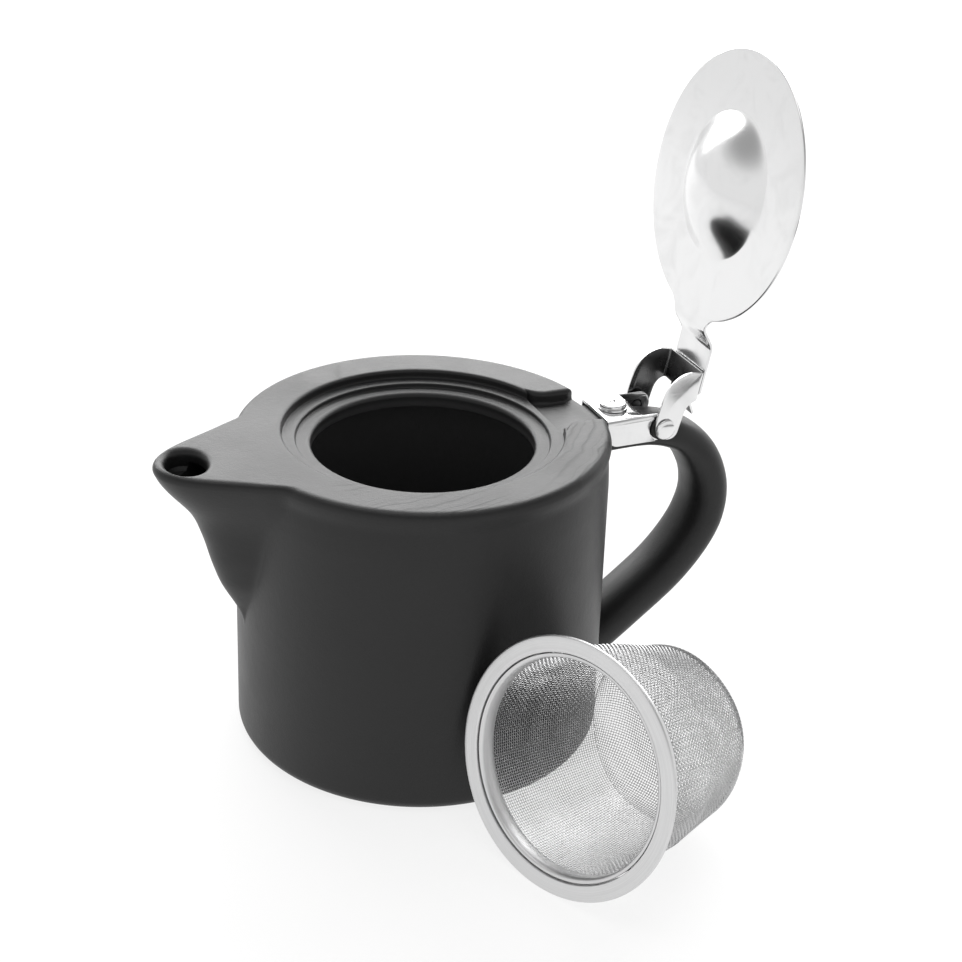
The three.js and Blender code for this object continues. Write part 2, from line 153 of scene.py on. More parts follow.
def deselect():
    if bpy.context.mode != "OBJECT":
        bpy.ops.object.mode_set(mode="OBJECT")
    bpy.ops.object.select_all(action="DESELECT")


def activate(obj):
    deselect()
    obj.select_set(True)
    bpy.context.view_layer.objects.active = obj
    return obj


def mesh_object(name, points, edges=(), faces=()):
    """An object at the origin from points in millimetres."""
    data = bpy.data.meshes.new(name)
    data.from_pydata([(x * MM, y * MM, z * MM) for x, y, z in points], list(edges), list(faces))
    data.update()
    obj = bpy.data.objects.new(name, data)
    bpy.context.scene.collection.objects.link(obj)
    return activate(obj)


def tidy_mesh(obj, distance=0.002):
    """Doubles merged and normals turned outwards."""
    activate(obj)
    bpy.ops.object.mode_set(mode="EDIT")
    bpy.ops.mesh.select_all(action="SELECT")
    bpy.ops.mesh.remove_doubles(threshold=distance * MM)
    bpy.ops.mesh.normals_make_consistent(inside=False)
    bpy.ops.object.mode_set(mode="OBJECT")
    return obj


def turned(name, profile, steps=96):
    """A profile of [radius, height] pairs spun round +Z."""
    points = [(r, 0.0, z) for r, z in profile]
    obj = mesh_object(name, points, [(i, i + 1) for i in range(len(points) - 1)])
    bpy.ops.object.mode_set(mode="EDIT")
    bpy.ops.mesh.select_all(action="SELECT")
    bpy.ops.mesh.spin(steps=steps, angle=2 * math.pi, center=(0, 0, 0), axis=(0, 0, 1))
    bpy.ops.object.mode_set(mode="OBJECT")
    return tidy_mesh(obj)


def moved(obj, matrix):
    """The mesh itself is moved, so that the object stays at the origin."""
    obj.data.transform(matrix)
    obj.data.update()
    return obj


def shift(x, y, z):
    return Matrix.Translation((x * MM, y * MM, z * MM))


def swept(name, rings):
    """A closed body through rings of equal point counts, with both ends capped."""
    count = len(rings[0])
    points = [p for ring in rings for p in ring]
    faces = []
    for row in range(len(rings) - 1):
        for i in range(count):
            j = (i + 1) % count
            a, b = row * count, (row + 1) * count
            faces.append((a + i, a + j, b + j, b + i))
    faces.append(tuple(range(count))[::-1])
    last = (len(rings) - 1) * count
    faces.append(tuple(range(last, last + count)))
    return tidy_mesh(mesh_object(name, points, faces=faces))


def upright_slab(name, outline, y0, y1):
    """An outline of (x, z) points given thickness from y0 to y1."""
    return swept(name, [[(x, y, z) for x, z in outline] for y in (y0, y1)])


def block(name, x0, x1, y0, y1, z0, z1, rounding=0.0, segments=4):
    deselect()
    centre = ((x0 + x1) / 2 * MM, (y0 + y1) / 2 * MM, (z0 + z1) / 2 * MM)
    size = ((x1 - x0) * MM, (y1 - y0) * MM, (z1 - z0) * MM)
    bpy.ops.mesh.primitive_cube_add(size=1, location=centre, scale=size)
    obj = bpy.context.object
    obj.name = name
    bpy.ops.object.transform_apply(location=True, rotation=True, scale=True)
    if rounding:
        bevel(obj, rounding, segments)
    return obj


def rod(name, radius, start, end, vertices=48):
    """A cylinder between two points, in millimetres."""
    start, end = Vector(start), Vector(end)
    deselect()
    depth = (end - start).length * MM
    bpy.ops.mesh.primitive_cylinder_add(vertices=vertices, radius=radius * MM, depth=depth)
    obj = bpy.context.object
    obj.name = name
    turn = Vector((0, 0, 1)).rotation_difference(end - start).to_matrix().to_4x4()
    return moved(obj, Matrix.Translation((start + end) / 2 * MM) @ turn)


def bevel(obj, width, segments=2, angle=40):
    activate(obj)
    modifier = obj.modifiers.new("Edges", "BEVEL")
    modifier.width = width * MM
    modifier.segments = segments
    modifier.limit_method = "ANGLE"
    modifier.angle_limit = math.radians(angle)
    modifier.use_clamp_overlap = True
    bpy.ops.object.modifier_apply(modifier=modifier.name)
    return obj


def combine(obj, other, operation):
    """obj joined to, cut by or limited to another closed body, which is used up."""
    activate(obj)
    modifier = obj.modifiers.new("Combine", "BOOLEAN")
    modifier.operation = operation
    modifier.object = other
    modifier.solver = "EXACT"
    bpy.ops.object.modifier_apply(modifier=modifier.name)
    bpy.data.objects.remove(other)
    return obj


def finish_piece(obj, body, material, nodes, smooth=35):
    """Smooth shading, a finish, a body to ride on and the solids that this piece stands for."""
    activate(obj)
    bpy.ops.object.shade_smooth_by_angle(angle=math.radians(smooth))
    obj.data.materials.clear()
    obj.data.materials.append(material)
    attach(obj, body)
    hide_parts(*nodes)
    deselect()
    return obj


def carry(obj, name, values):
    """A vector attribute on every point, for patterns that follow the surface."""
    layer = obj.data.attributes.new(name, "FLOAT_VECTOR", "POINT")
    layer.data.foreach_set("vector", np.asarray(values, np.float32).ravel())


def mesh_points(obj):
    """The mesh's points in millimetres."""
    flat = np.empty(len(obj.data.vertices) * 3, np.float32)
    obj.data.vertices.foreach_get("co", flat)
    return flat.reshape(-1, 3).astype(float) / MM


def paint_shade_over(obj, chosen):
    """Marks the faces of a steel piece that get painted shade, a dark tint standing in for shade in recesses
    and on inner faces, chosen by their middles in millimetres.
    """
    flat = np.empty(len(obj.data.polygons) * 3, np.float32)
    obj.data.polygons.foreach_get("center", flat)
    marks = chosen(*(flat.reshape(-1, 3).astype(float) / MM).T)
    layer = obj.data.attributes.new("painted_shade", "FLOAT", "FACE")
    layer.data.foreach_set("value", np.asarray(marks, np.float32))


def between(table, key):
    """A value read from (key, value) pairs in straight lines."""
    keys, values = zip(*table)
    return float(np.interp(key, keys, values))


def arc(cx, cz, radius, start, end, steps):
    """Points on an arc in the plane of radius and height, angles in degrees."""
    turns = [math.radians(start + (end - start) * i / steps) for i in range(steps + 1)]
    return [(cx + radius * math.cos(t), cz + radius * math.sin(t)) for t in turns]


def bow(p0, p1, p2, steps=10):
    """Points after p0 on a bowed line to p2 that leans towards p1."""
    return [((1 - t) ** 2 * p0[0] + 2 * t * (1 - t) * p1[0] + t * t * p2[0],
             (1 - t) ** 2 * p0[1] + 2 * t * (1 - t) * p1[1] + t * t * p2[1])
            for t in [i / steps for i in range(1, steps + 1)]]


def smooth_path(points, spacing):
    """A path through points on a rounded curve, at about an even spacing."""
    points = [Vector(p) for p in points]
    ends = [2 * points[0] - points[1]] + points + [2 * points[-1] - points[-2]]
    fine = []
    for p0, p1, p2, p3 in zip(ends, ends[1:], ends[2:], ends[3:]):
        for i in range(40):
            t = i / 40
            fine.append(0.5 * (2 * p1 + (p2 - p0) * t + (2 * p0 - 5 * p1 + 4 * p2 - p3) * t * t
                               + (3 * p1 - p0 - 3 * p2 + p3) * t ** 3))
    fine.append(points[-1])
    run = [0.0]
    for a, b in zip(fine, fine[1:]):
        run.append(run[-1] + (b - a).length)
    count = max(2, round(run[-1] / spacing))
    wanted = np.linspace(0, run[-1], count + 1)
    return [Vector([float(np.interp(w, run, [p[k] for p in fine])) for k in range(3)]) for w in wanted]


# ---- finishes ---------------------------------------------------------------------------


class Nodes:
    """A small hand for wiring shader nodes."""

    def __init__(self, tree):
        self.tree = tree

    def add(self, kind, inputs=None, **settings):
        node = self.tree.nodes.new(kind)
        for key, value in settings.items():
            setattr(node, key, value)
        for key, value in (inputs or {}).items():
            if isinstance(value, bpy.types.NodeSocket):
                self.tree.links.new(value, node.inputs[key])
            else:
                node.inputs[key].default_value = value
        return node

    def math(self, operation, a, b=0.0, clamp=False):
        return self.add("ShaderNodeMath", {0: a, 1: b}, operation=operation, use_clamp=clamp).outputs[0]

    def noise(self, vector, scale, detail=3.0, roughness=0.55, distortion=0.0):
        node = self.add("ShaderNodeTexNoise", {
            "Vector": vector, "Scale": scale, "Detail": detail,
            "Roughness": roughness, "Distortion": distortion,
        })
        return node.outputs["Fac"]

    def ramp(self, value, low, high, a=0.0, b=1.0):
        node = self.add("ShaderNodeMapRange", {
            "Value": value, "From Min": low, "From Max": high, "To Min": a, "To Max": b,
        }, interpolation_type="SMOOTHSTEP")
        return node.outputs["Result"]

    def mix(self, factor, a, b):
        node = self.add("ShaderNodeMix", data_type="RGBA")
        for socket, value in ((node.inputs[0], factor), (node.inputs[6], a), (node.inputs[7], b)):
            if isinstance(value, bpy.types.NodeSocket):
                self.tree.links.new(value, socket)
            elif socket.type == "RGBA":
                socket.default_value = (*value, 1.0)
            else:
                socket.default_value = value
        return node.outputs[2]


def new_group(name, inputs, outputs):
    group = bpy.data.node_groups.new(name, "ShaderNodeTree")
    for label, kind, default in inputs:
        socket = group.interface.new_socket(label, in_out="INPUT", socket_type=kind)
        if default is not None:
            socket.default_value = default
    for label, kind in outputs:
        group.interface.new_socket(label, in_out="OUTPUT", socket_type=kind)
    nodes = Nodes(group)
    return group, nodes, nodes.add("NodeGroupInput"), nodes.add("NodeGroupOutput")


def mottle_group():
    """Cloudy patches and fine grain, each from 0 to 1."""
    group, n, given, out = new_group(
        "Mottle",
        [("Vector", "NodeSocketVector", None), ("Patch Size", "NodeSocketFloat", 60.0),
         ("Grain Size", "NodeSocketFloat", 1500.0)],
        [("Patches", "NodeSocketFloat"), ("Grain", "NodeSocketFloat")],
    )
    patches = n.noise(given.outputs["Vector"], given.outputs["Patch Size"], 4.0, 0.6, 0.3)
    grain = n.noise(given.outputs["Vector"], given.outputs["Grain Size"], 3.0, 0.6)
    n.tree.links.new(n.ramp(patches, 0.34, 0.66), out.inputs["Patches"])
    n.tree.links.new(n.ramp(grain, 0.3, 0.7), out.inputs["Grain"])
    return group


def handling_group():
    """Faint smudges and hairline rub marks of steel that has been handled."""
    group, n, given, out = new_group(
        "Handling",
        [("Vector", "NodeSocketVector", None), ("Smudge Size", "NodeSocketFloat", 90.0)],
        [("Smudges", "NodeSocketFloat"), ("Rubs", "NodeSocketFloat")],
    )
    smudge = n.noise(given.outputs["Vector"], given.outputs["Smudge Size"], 5.0, 0.62, 0.8)
    across = n.add("ShaderNodeMapping", {"Vector": given.outputs["Vector"], "Rotation": (0.4, 0.3, 0.5),
                                         "Scale": (30.0, 900.0, 900.0)})
    rubs = n.noise(across.outputs[0], 2.0, 2.0, 0.5, 0.2)
    n.tree.links.new(n.ramp(smudge, 0.45, 0.75), out.inputs["Smudges"])
    n.tree.links.new(n.ramp(rubs, 0.6, 0.74), out.inputs["Rubs"])
    return group


def shared(build, name):
    return bpy.data.node_groups.get(name) or build()


def surface_place(n):
    return n.add("ShaderNodeTexCoord").outputs["Object"]


def mottled(n, place, patch, grain=1500.0):
    """The outputs of a Mottle group at a place, with its two sizes set."""
    node = n.add("ShaderNodeGroup", node_tree=shared(mottle_group, "Mottle"))
    n.tree.links.new(place, node.inputs["Vector"])
    node.inputs["Patch Size"].default_value = patch
    node.inputs["Grain Size"].default_value = grain
    return node.outputs


def handled(n, place, smudge=90.0):
    """The outputs of a Handling group at a place, with its smudge size set."""
    node = n.add("ShaderNodeGroup", node_tree=shared(handling_group, "Handling"))
    n.tree.links.new(place, node.inputs["Vector"])
    node.inputs["Smudge Size"].default_value = smudge
    return node.outputs


def new_material(name, base, roughness, metallic=0.0, specular=0.5):
    material = bpy.data.materials.get(name)
    if material:
        return material, None, None
    material = bpy.data.materials.new(name)
    material.use_nodes = True
    tree = material.node_tree
    tree.nodes.clear()
    n = Nodes(tree)
    shader = n.add("ShaderNodeBsdfPrincipled")
    shader.inputs["Base Color"].default_value = (*base, 1.0)
    shader.inputs["Roughness"].default_value = roughness
    shader.inputs["Metallic"].default_value = metallic
    shader.inputs["Specular IOR Level"].default_value = specular
    out = n.add("ShaderNodeOutputMaterial")
    tree.links.new(shader.outputs[0], out.inputs[0])
    return material, n, shader


def bump(n, shader, height, strength, distance):
    node = n.add("ShaderNodeBump", {"Height": height, "Strength": strength, "Distance": distance})
    n.tree.links.new(node.outputs[0], shader.inputs["Normal"])


def matt_glaze(settings):
    """Matt charcoal glaze, wiped in arcs on the flat top, lightened inside the pot as painted light, and pale
    in a thin line at the foot, which is bare clay and also a painted highlight on the foot's edge.
    """
    material, n, shader = new_material("Matt charcoal glaze", settings.glaze, 0.42, specular=0.34)
    if n is None:
        return material
    place = surface_place(n)
    mottle = mottled(n, place, 38.0, 2300.0)
    split = n.add("ShaderNodeSeparateXYZ", {0: place})
    height = split.outputs["Z"]
    # wiping arcs: rings about points off the pot's axis, only on the flat top
    bowed = n.add("ShaderNodeMapping", {"Vector": place, "Location": (0.03, -0.03, 0.0)}).outputs[0]
    wobble = n.noise(place, 55.0, 2.0)
    far = n.add("ShaderNodeVectorMath", {0: bowed}, operation="LENGTH").outputs["Value"]
    ring = n.math("ADD", n.math("MULTIPLY", far, 1500.0), n.math("MULTIPLY", wobble, 9.0))
    rows = n.noise(n.add("ShaderNodeCombineXYZ", {"X": ring}).outputs[0], 0.55, 3.0, 0.65)
    patchy = n.ramp(n.noise(place, 24.0, 1.0), 0.47, 0.62)
    top = n.ramp(height, 0.0885, 0.0912)
    streaks = n.math("MULTIPLY", n.ramp(rows, 0.46, 0.66), n.math("MULTIPLY", patchy, top))
    light = tuple(min(1.0, c * 1.45) for c in settings.glaze)
    dark = tuple(c * 0.8 for c in settings.glaze)
    base = n.mix(mottle["Patches"], dark, tuple(settings.glaze))
    base = n.mix(n.math("MULTIPLY", mottle["Grain"], 0.25), base, light)
    base = n.mix(n.math("MULTIPLY", streaks, 0.55), base, dark)
    across = n.add("ShaderNodeVectorMath", {0: n.add("ShaderNodeCombineXYZ", {
        "X": split.outputs["X"], "Y": split.outputs["Y"]}).outputs[0]}, operation="LENGTH").outputs["Value"]
    # painted light: inside the wall and below the mouth the glaze is swapped for the lighter inside colour,
    # standing in for light falling into the pot
    within_wall = n.ramp(across, 0.0478, 0.0482, 1.0, 0.0)
    below_mouth = n.ramp(height, 0.0835, 0.0865, 1.0, 0.0)
    inside = n.math("MULTIPLY", within_wall, below_mouth)
    inside = n.math("MULTIPLY", inside, n.ramp(height, 0.004, 0.005))
    base = n.mix(inside, base, tuple(settings.inside))
    # the pale foot line: bare clay, and also a painted highlight on the foot's edge
    wavy_height = n.math("ADD", height, n.math("MULTIPLY", wobble, 0.0006))
    foot = n.math("SUBTRACT", 1.0, n.ramp(wavy_height, 0.0006, 0.0013))
    base = n.mix(foot, base, tuple(settings.bare_foot_and_highlight))
    n.tree.links.new(base, shader.inputs["Base Color"])
    rough = n.math("ADD", n.math("MULTIPLY", mottle["Patches"], 0.04), 0.40)
    rough = n.math("ADD", rough, n.math("MULTIPLY", streaks, 0.08))
    n.tree.links.new(rough, shader.inputs["Roughness"])
    relief = n.math("ADD", n.math("MULTIPLY", mottle["Grain"], 0.35), n.noise(place, 420.0, 3.0))
    relief = n.math("SUBTRACT", relief, n.math("MULTIPLY", streaks, 0.7))
    bump(n, shader, relief, 0.22, 0.00022)
    return material


def steel_finish(name, base, roughness, smear, scratch):
    """Steel with smudges in its gloss, hairline rub marks, and painted shade, a darkened base colour standing
    in for shade, on faces whose mark is 1.
    """
    material, n, shader = new_material(name, base, roughness, 1.0)
    if n is None:
        return material
    place = surface_place(n)
    handling = handled(n, place, 75.0)
    rough = n.math("ADD", roughness, n.math("MULTIPLY", handling["Smudges"], smear))
    rough = n.math("ADD", rough, n.math("MULTIPLY", handling["Rubs"], scratch))
    # painted shade: marked faces get a base colour darkened to 0.17 and a little more roughness, standing in
    # for shade in recesses and on inner faces
    painted_shade = n.add("ShaderNodeAttribute", attribute_name="painted_shade").outputs["Fac"]
    rough = n.math("ADD", rough, n.math("MULTIPLY", painted_shade, 0.08))
    n.tree.links.new(rough, shader.inputs["Roughness"])
    dull = tuple(c * 0.93 for c in base)
    face = n.mix(handling["Smudges"], tuple(base), dull)
    n.tree.links.new(n.mix(painted_shade, face, tuple(c * 0.17 for c in base)), shader.inputs["Base Color"])
    bump(n, shader, handling["Rubs"], 0.06, 0.00002)
    return material


def spun_steel(name, base, roughness):
    """Steel brushed round the piece's own axis, from the attribute "brush"."""
    material, n, shader = new_material(name, base, roughness, 1.0)
    if n is None:
        return material
    place = surface_place(n)
    along = n.add("ShaderNodeAttribute", attribute_name="brush").outputs["Vector"]
    handling = handled(n, place)
    lines = n.noise(along, 14.0, 4.0, 0.7)
    coarse = n.noise(along, 5.5, 2.0, 0.5)
    rough = n.math("ADD", roughness - 0.06, n.math("MULTIPLY", lines, 0.14))
    rough = n.math("ADD", rough, n.math("MULTIPLY", handling["Smudges"], 0.06))
    n.tree.links.new(rough, shader.inputs["Roughness"])
    dull = tuple(c * 0.92 for c in base)
    n.tree.links.new(n.mix(n.ramp(coarse, 0.35, 0.65), dull, tuple(base)), shader.inputs["Base Color"])
    bump(n, shader, n.math("ADD", lines, n.math("MULTIPLY", coarse, 0.3)), 0.2, 0.00003)
    return material


def wire_steel(settings):
    """Drawn wire, a little brighter on some lengths than others."""
    material, n, shader = new_material("Drawn wire", settings.wire, 0.34, 1.0)
    if n is None:
        return material
    place = surface_place(n)
    mottle = mottled(n, place, 110.0, 1800.0)
    dull = tuple(c * 0.88 for c in settings.wire)
    bright = tuple(min(1.0, c * 1.12) for c in settings.wire)
    base = n.mix(mottle["Patches"], dull, bright)
    n.tree.links.new(base, shader.inputs["Base Color"])
    n.tree.links.new(n.ramp(mottle["Grain"], 0.0, 1.0, 0.26, 0.42), shader.inputs["Roughness"])
    bump(n, shader, mottle["Grain"], 0.1, 0.00002)
    return material


def dark_fibre():
    """Pressed dark fibre of the pivot washers."""
    material, n, shader = new_material("Dark fibre", (0.02, 0.02, 0.02), 0.7, specular=0.3)
    if n is None:
        return material
    place = surface_place(n)
    mottle = mottled(n, place, 700.0, 5000.0)
    n.tree.links.new(n.mix(mottle["Patches"], (0.012, 0.012, 0.012), (0.035, 0.034, 0.033)),
                     shader.inputs["Base Color"])
    n.tree.links.new(n.ramp(mottle["Grain"], 0.0, 1.0, 0.6, 0.8), shader.inputs["Roughness"])
    bump(n, shader, mottle["Grain"], 0.3, 0.00005)
    return material


def turned_brass():
    """Brass of the hidden anchor, with tool rings."""
    material, n, shader = new_material("Turned brass", (0.6, 0.42, 0.16), 0.32, 1.0)
    if n is None:
        return material
    place = surface_place(n)
    mottle = mottled(n, place, 300.0)
    flat = n.add("ShaderNodeMapping", {"Vector": place, "Scale": (20.0, 20.0, 4000.0)}).outputs[0]
    rings = n.noise(flat, 1.0, 2.0)
    n.tree.links.new(n.mix(mottle["Patches"], (0.46, 0.31, 0.11), (0.64, 0.46, 0.19)),
                     shader.inputs["Base Color"])
    n.tree.links.new(n.ramp(rings, 0.3, 0.7, 0.26, 0.42), shader.inputs["Roughness"])
    bump(n, shader, rings, 0.3, 0.00005)
    return material


# ---- stoneware --------------------------------------------------------------------------

# Against height: where the spout's front stands, how wide it meets the wall, its neck's width.
SPOUT_FRONT = [(30, -46.5), (38, -50.6), (43, -53.2), (47, -55.2), (50.5, -57.2), (54, -58.9), (60.6, -61.0),
               (67, -62.6), (73.6, -64.8), (77, -66.6), (80.5, -69.6), (84, -72.6), (87, -74.6),
               (89.6, -75.8),
               (91.5, -76.2)]
SPOUT_ROOT = [(30, 1), (43, 3), (47.4, 6.6), (53.6, 11), (63, 15.2), (72.4, 18.8), (80, 22.2), (91.5, 26.5)]
SPOUT_NECK = [(30, 0.6), (43, 2), (47.4, 4.6), (53.6, 7.6), (63, 9.8), (72.4, 10.9), (80, 12.3), (91.5, 15.0)]
SPOUT_BACK = -44.0
FLOOR_Z = 6.0
SCREW_X = 58.4
ANCHOR_LOW = 79.6


def eased(table, key, reach=2.2):
    """A value from a table with its corners eased over a short reach."""
    spread = (-1.0, -0.5, 0.0, 0.5, 1.0)
    weights = (0.1, 0.24, 0.32, 0.24, 0.1)
    return sum(w * between(table, min(key + s * reach, 91.5)) for s, w in zip(spread, weights))


def spout_outline(height, inset):
    """(front, root, neck) of the spout's plan outline at a height, drawn in by inset."""
    front = eased(SPOUT_FRONT, height) + inset
    return front, eased(SPOUT_ROOT, height) - inset, eased(SPOUT_NECK, height) - inset


def spout_half(reach, root, neck):
    """Half the spout's width at a share of the way from its back to its front."""
    return neck * np.sqrt(np.maximum(1 - reach ** 3, 0)) + (root - neck) * np.abs(1 - reach) ** 2.2


def spout_reach(angles, height, inset):
    """How far the spout stands from the pot's axis, in directions measured from -X."""
    front, root, neck = spout_outline(height, inset)
    slope = np.tan(np.clip(np.abs(angles), 0.0, 1.2))
    low, high = np.full_like(slope, -0.95), np.ones_like(slope)
    for _ in range(40):
        middle = (low + high) / 2
        x = SPOUT_BACK + (front - SPOUT_BACK) * middle
        outside = spout_half(middle, root, neck) < -x * slope
        high = np.where(outside, middle, high)
        low = np.where(outside, low, middle)
    x = SPOUT_BACK + (front - SPOUT_BACK) * low
    found = np.where(low > -0.949, -x / np.cos(np.arctan(slope)), 0.0)
    away = np.maximum(np.degrees(np.abs(angles)) - 19.0, 0.0)
    return found - 0.016 * away ** 2


def melted(a, b, blend):
    """The larger of two lengths, with the crease between them filled."""
    near = np.maximum(blend - np.abs(a - b), 0.0) / blend
    return np.maximum(a, b) + near ** 2 * blend / 4


# The wall's outer radius against height, drawn in a little below the top's edge.
WALL = [(3.0, 52.6), (40.0, 52.3), (78.0, 52.0), (82.0, 51.8), (85.5, 51.5), (87.5, 51.85), (89.0, 52.1),
        (91.5, 52.1)]


def plain(points):
    """Round rows through points of (radius, height)."""
    return [("plain", r, z, 0) for r, z in points]


def pot_rows(settings):
    """The pot's rows from the middle of its underside, over its outside, to the middle of its floor.

    Each is (kind, radius, height, inset): a wall row follows the spout, a top row lies between the
    outer edge and the lid's recess, and a plain row is round.
    """
    top = settings.height / MM
    seat = settings.lid_seat_radius / MM
    mouth = settings.mouth_radius / MM
    rounding = settings.edge_rounding / MM
    rows = plain([(0.0, 1.0), (20.0, 1.0), (40.0, 1.0), (44.2, 1.0), (44.8, 0.8), (45.2, 0.3), (45.8, 0.05),
                  (46.6, 0.0), (48.9, 0.0)])
    rows += plain(arc(48.9, 3.7, 3.7, -80, -6, 9))
    height = 4.6
    while height < 88.0:
        rows.append(("wall", between(WALL, height), height, 0.0))
        height += 0.95 if height > 38 else 2.4
    low = top - rounding
    for i in range(9):
        turn = math.radians(90 * i / 8)
        edge = low + rounding * math.sin(turn)
        rows.append(("wall", between(WALL, low), edge, rounding * (1 - math.cos(turn))))
    shares = (0.04, 0.1, 0.2, 0.3, 0.4, 0.5, 0.6, 0.7, 0.8, 0.9, 0.96, 1.0)
    rows += [("top", share, top, rounding) for share in shares]
    rows += plain(arc(seat + 0.9, top - 0.9, 0.9, 105, 180, 5))
    rows += plain([(seat, 89.9), (seat, 89.3), (seat - 0.12, 89.0), (seat - 0.45, 88.9), (37.0, 88.9)])
    rows += plain([(35.9, 88.9), (35.45, 88.82), (35.25, 88.6), (35.2, 88.2)])
    rows += plain([(35.15, 87.8), (34.95, 87.58), (34.6, 87.5), (33.0, 87.5)])
    rows += plain(arc(mouth + 1.3, 86.2, 1.3, 88, 180, 6))
    rows += plain([(mouth, 85.0), (mouth + 0.1, 84.0), (mouth + 0.5, 83.3), (mouth + 1.2, 83.0)])
    rows += plain([(38.0, 82.3), (44.0, 81.5), (46.2, 80.3), (47.2, 78.7), (47.5, 77.0)])
    rows += plain([(47.5, z) for z in (70.0, 60.0, 50.0, 40.0, 30.0, 20.0)])
    rows += plain(arc(41.5, 12.0, 6.0, 0, -90, 8))
    rows += plain([(r, FLOOR_Z) for r in (34.0, 24.0, 12.0, 0.0)])
    return rows


def pot_shell(settings, steps=440):
    """The body as closed rings round its axis, of which the wall's rings follow the spout."""
    rows = pot_rows(settings)
    top_edge = settings.lid_seat_radius / MM + 1.2
    even = np.arange(steps) / steps * 2 - 1
    angles = math.pi * (0.3 * even + 0.7 * even ** 3)
    blend = settings.spout_blend / MM
    edge = None
    rings = []
    for kind, radius, height, inset in rows:
        if kind == "wall":
            spout = spout_reach(angles, height, inset)
            reach = np.full(steps, radius)
            if height > 32:
                reach = melted(np.full(steps, radius - inset), spout, blend)
            share = min(max((height - 32) / 6, 0.0), 1.0)
            reach = reach * share + (radius - inset) * (1 - share)
            edge = reach
        elif kind == "top":
            reach = edge * (1 - radius) + top_edge * radius
        else:
            reach = np.full(steps, radius)
        rings.append(np.stack([-reach * np.cos(angles), reach * np.sin(angles), np.full(steps, height)], 1))
    points = [tuple(rings[0][0])]
    for ring in rings[1:-1]:
        points += [tuple(p) for p in ring]
    points.append(tuple(rings[-1][0]))
    faces = []
    count = len(rings) - 2
    for row in range(count - 1):
        a, b = 1 + row * steps, 1 + (row + 1) * steps
        faces += [(a + i, a + (i + 1) % steps, b + (i + 1) % steps, b + i) for i in range(steps)]
    last = 1 + (count - 1) * steps
    faces += [(0, 1 + (i + 1) % steps, 1 + i) for i in range(steps)]
    faces += [(len(points) - 1, last + i, last + (i + 1) % steps) for i in range(steps)]
    return tidy_mesh(mesh_object("Pot", points, faces=faces))


def rounded_over(top, lip, turns):
    """Levels of (height, offset) where a cut's edge is rounded over at the top."""
    return [(top - lip + lip * math.sin(t), lip * (1 - math.cos(t))) for t in turns]


def channel_half(x, offset):
    """Half the channel's width, flared at both ends."""
    inner = 3.2 * max(0.0, (42.5 - x) / 5.0) ** 2.2
    outer = 3.4 * max(0.0, (x - 47.6) / 4.6) ** 2.2
    return 9.8 + min(inner, 4.5) + min(outer, 5.5) + offset


def channel_cutter(settings):
    """The open channel for the lid's tab, its lips rounded over and its ends flared."""
    top = settings.height / MM
    lip = 1.5
    levels = [(87.7, -0.9), (87.82, -0.45), (88.2, -0.1), (88.8, 0.0), (top - lip, 0.0)]
    levels += rounded_over(top, lip, (0.35, 0.7, 1.0, 1.3, 1.5708))
    levels += [(top + 3, lip)]
    stations = [37.0, 37.6, 38.4, 39.2, 40.2, 41.6, 43.5, 45.5, 47.2, 48.6, 49.8, 50.8, 51.6, 52.4, 53.4,
                56.0]
    rings = []
    for z, offset in levels:
        side = [(x, channel_half(x, offset), z) for x in stations]
        rings.append(side + [(x, -y, z) for x, y, _ in reversed(side)])
    return swept("Channel", rings)


def spout_cutters(settings):
    """The passage through the wall and up the spout, and its mouth with a softly rounded lip."""
    top = settings.height / MM
    rings = []
    for i in range(19):
        height = 52.0 + (88.0 - 52.0) * i / 18
        front, root, neck = spout_outline(height, 4.2)
        shrink = math.sin(min(1.0, (i + 0.6) / 4) * math.pi / 2)
        shrink *= math.sin(min(1.0, (19 - i) / 2.5) * math.pi / 2)
        side = []
        for k in range(25):
            reach = math.sin(k / 24 * math.pi / 2)
            x = SPOUT_BACK + (front - SPOUT_BACK) * reach
            side.append((x, float(spout_half(np.array(reach), root, neck)) * (0.6 + 0.4 * shrink), height))
        flank = side[:-1]
        rings.append(flank + [(side[-1][0], 0.0, height)] + [(x, -y, z) for x, y, z in reversed(flank)])
    passage = swept("Passage", rings)
    lip = 2.0
    levels = [(85.6, -0.8), (86.6, 0.0), (top - lip, 0.0)]
    levels += rounded_over(top, lip, (0.3, 0.6, 0.9, 1.15, 1.4, 1.5708))
    levels += [(top + 3, lip)]
    rings = []
    for z, offset in levels:
        rings.append([(-67.0 + (5.4 + offset) * math.cos(a), (7.4 + offset) * math.sin(a), z)
                      for a in np.linspace(0, 2 * math.pi, 72, endpoint=False)])
    return passage, swept("Mouth", rings)


HANDLE_LINE = [(46, 0, 79.5), (58, 0, 80.4), (70, 0, 80.0), (79.5, 0, 76.6), (86.8, 0, 70.0), (90.6, 0, 61.2),
               (90.4, 0, 52.4), (86.6, 0, 43.6), (78.3, 0, 33.4), (65.4, 0, 22.8), (55.5, 0, 15.2),
               (46.5, 0, 8.6)]


# Along the handle: the share of its inner half's thickness that is kept, least under the bracket.
HANDLE_SLIM = [(0, 0.5), (0.26, 0.55), (0.34, 0.85), (0.43, 1.0), (1, 1.0)]


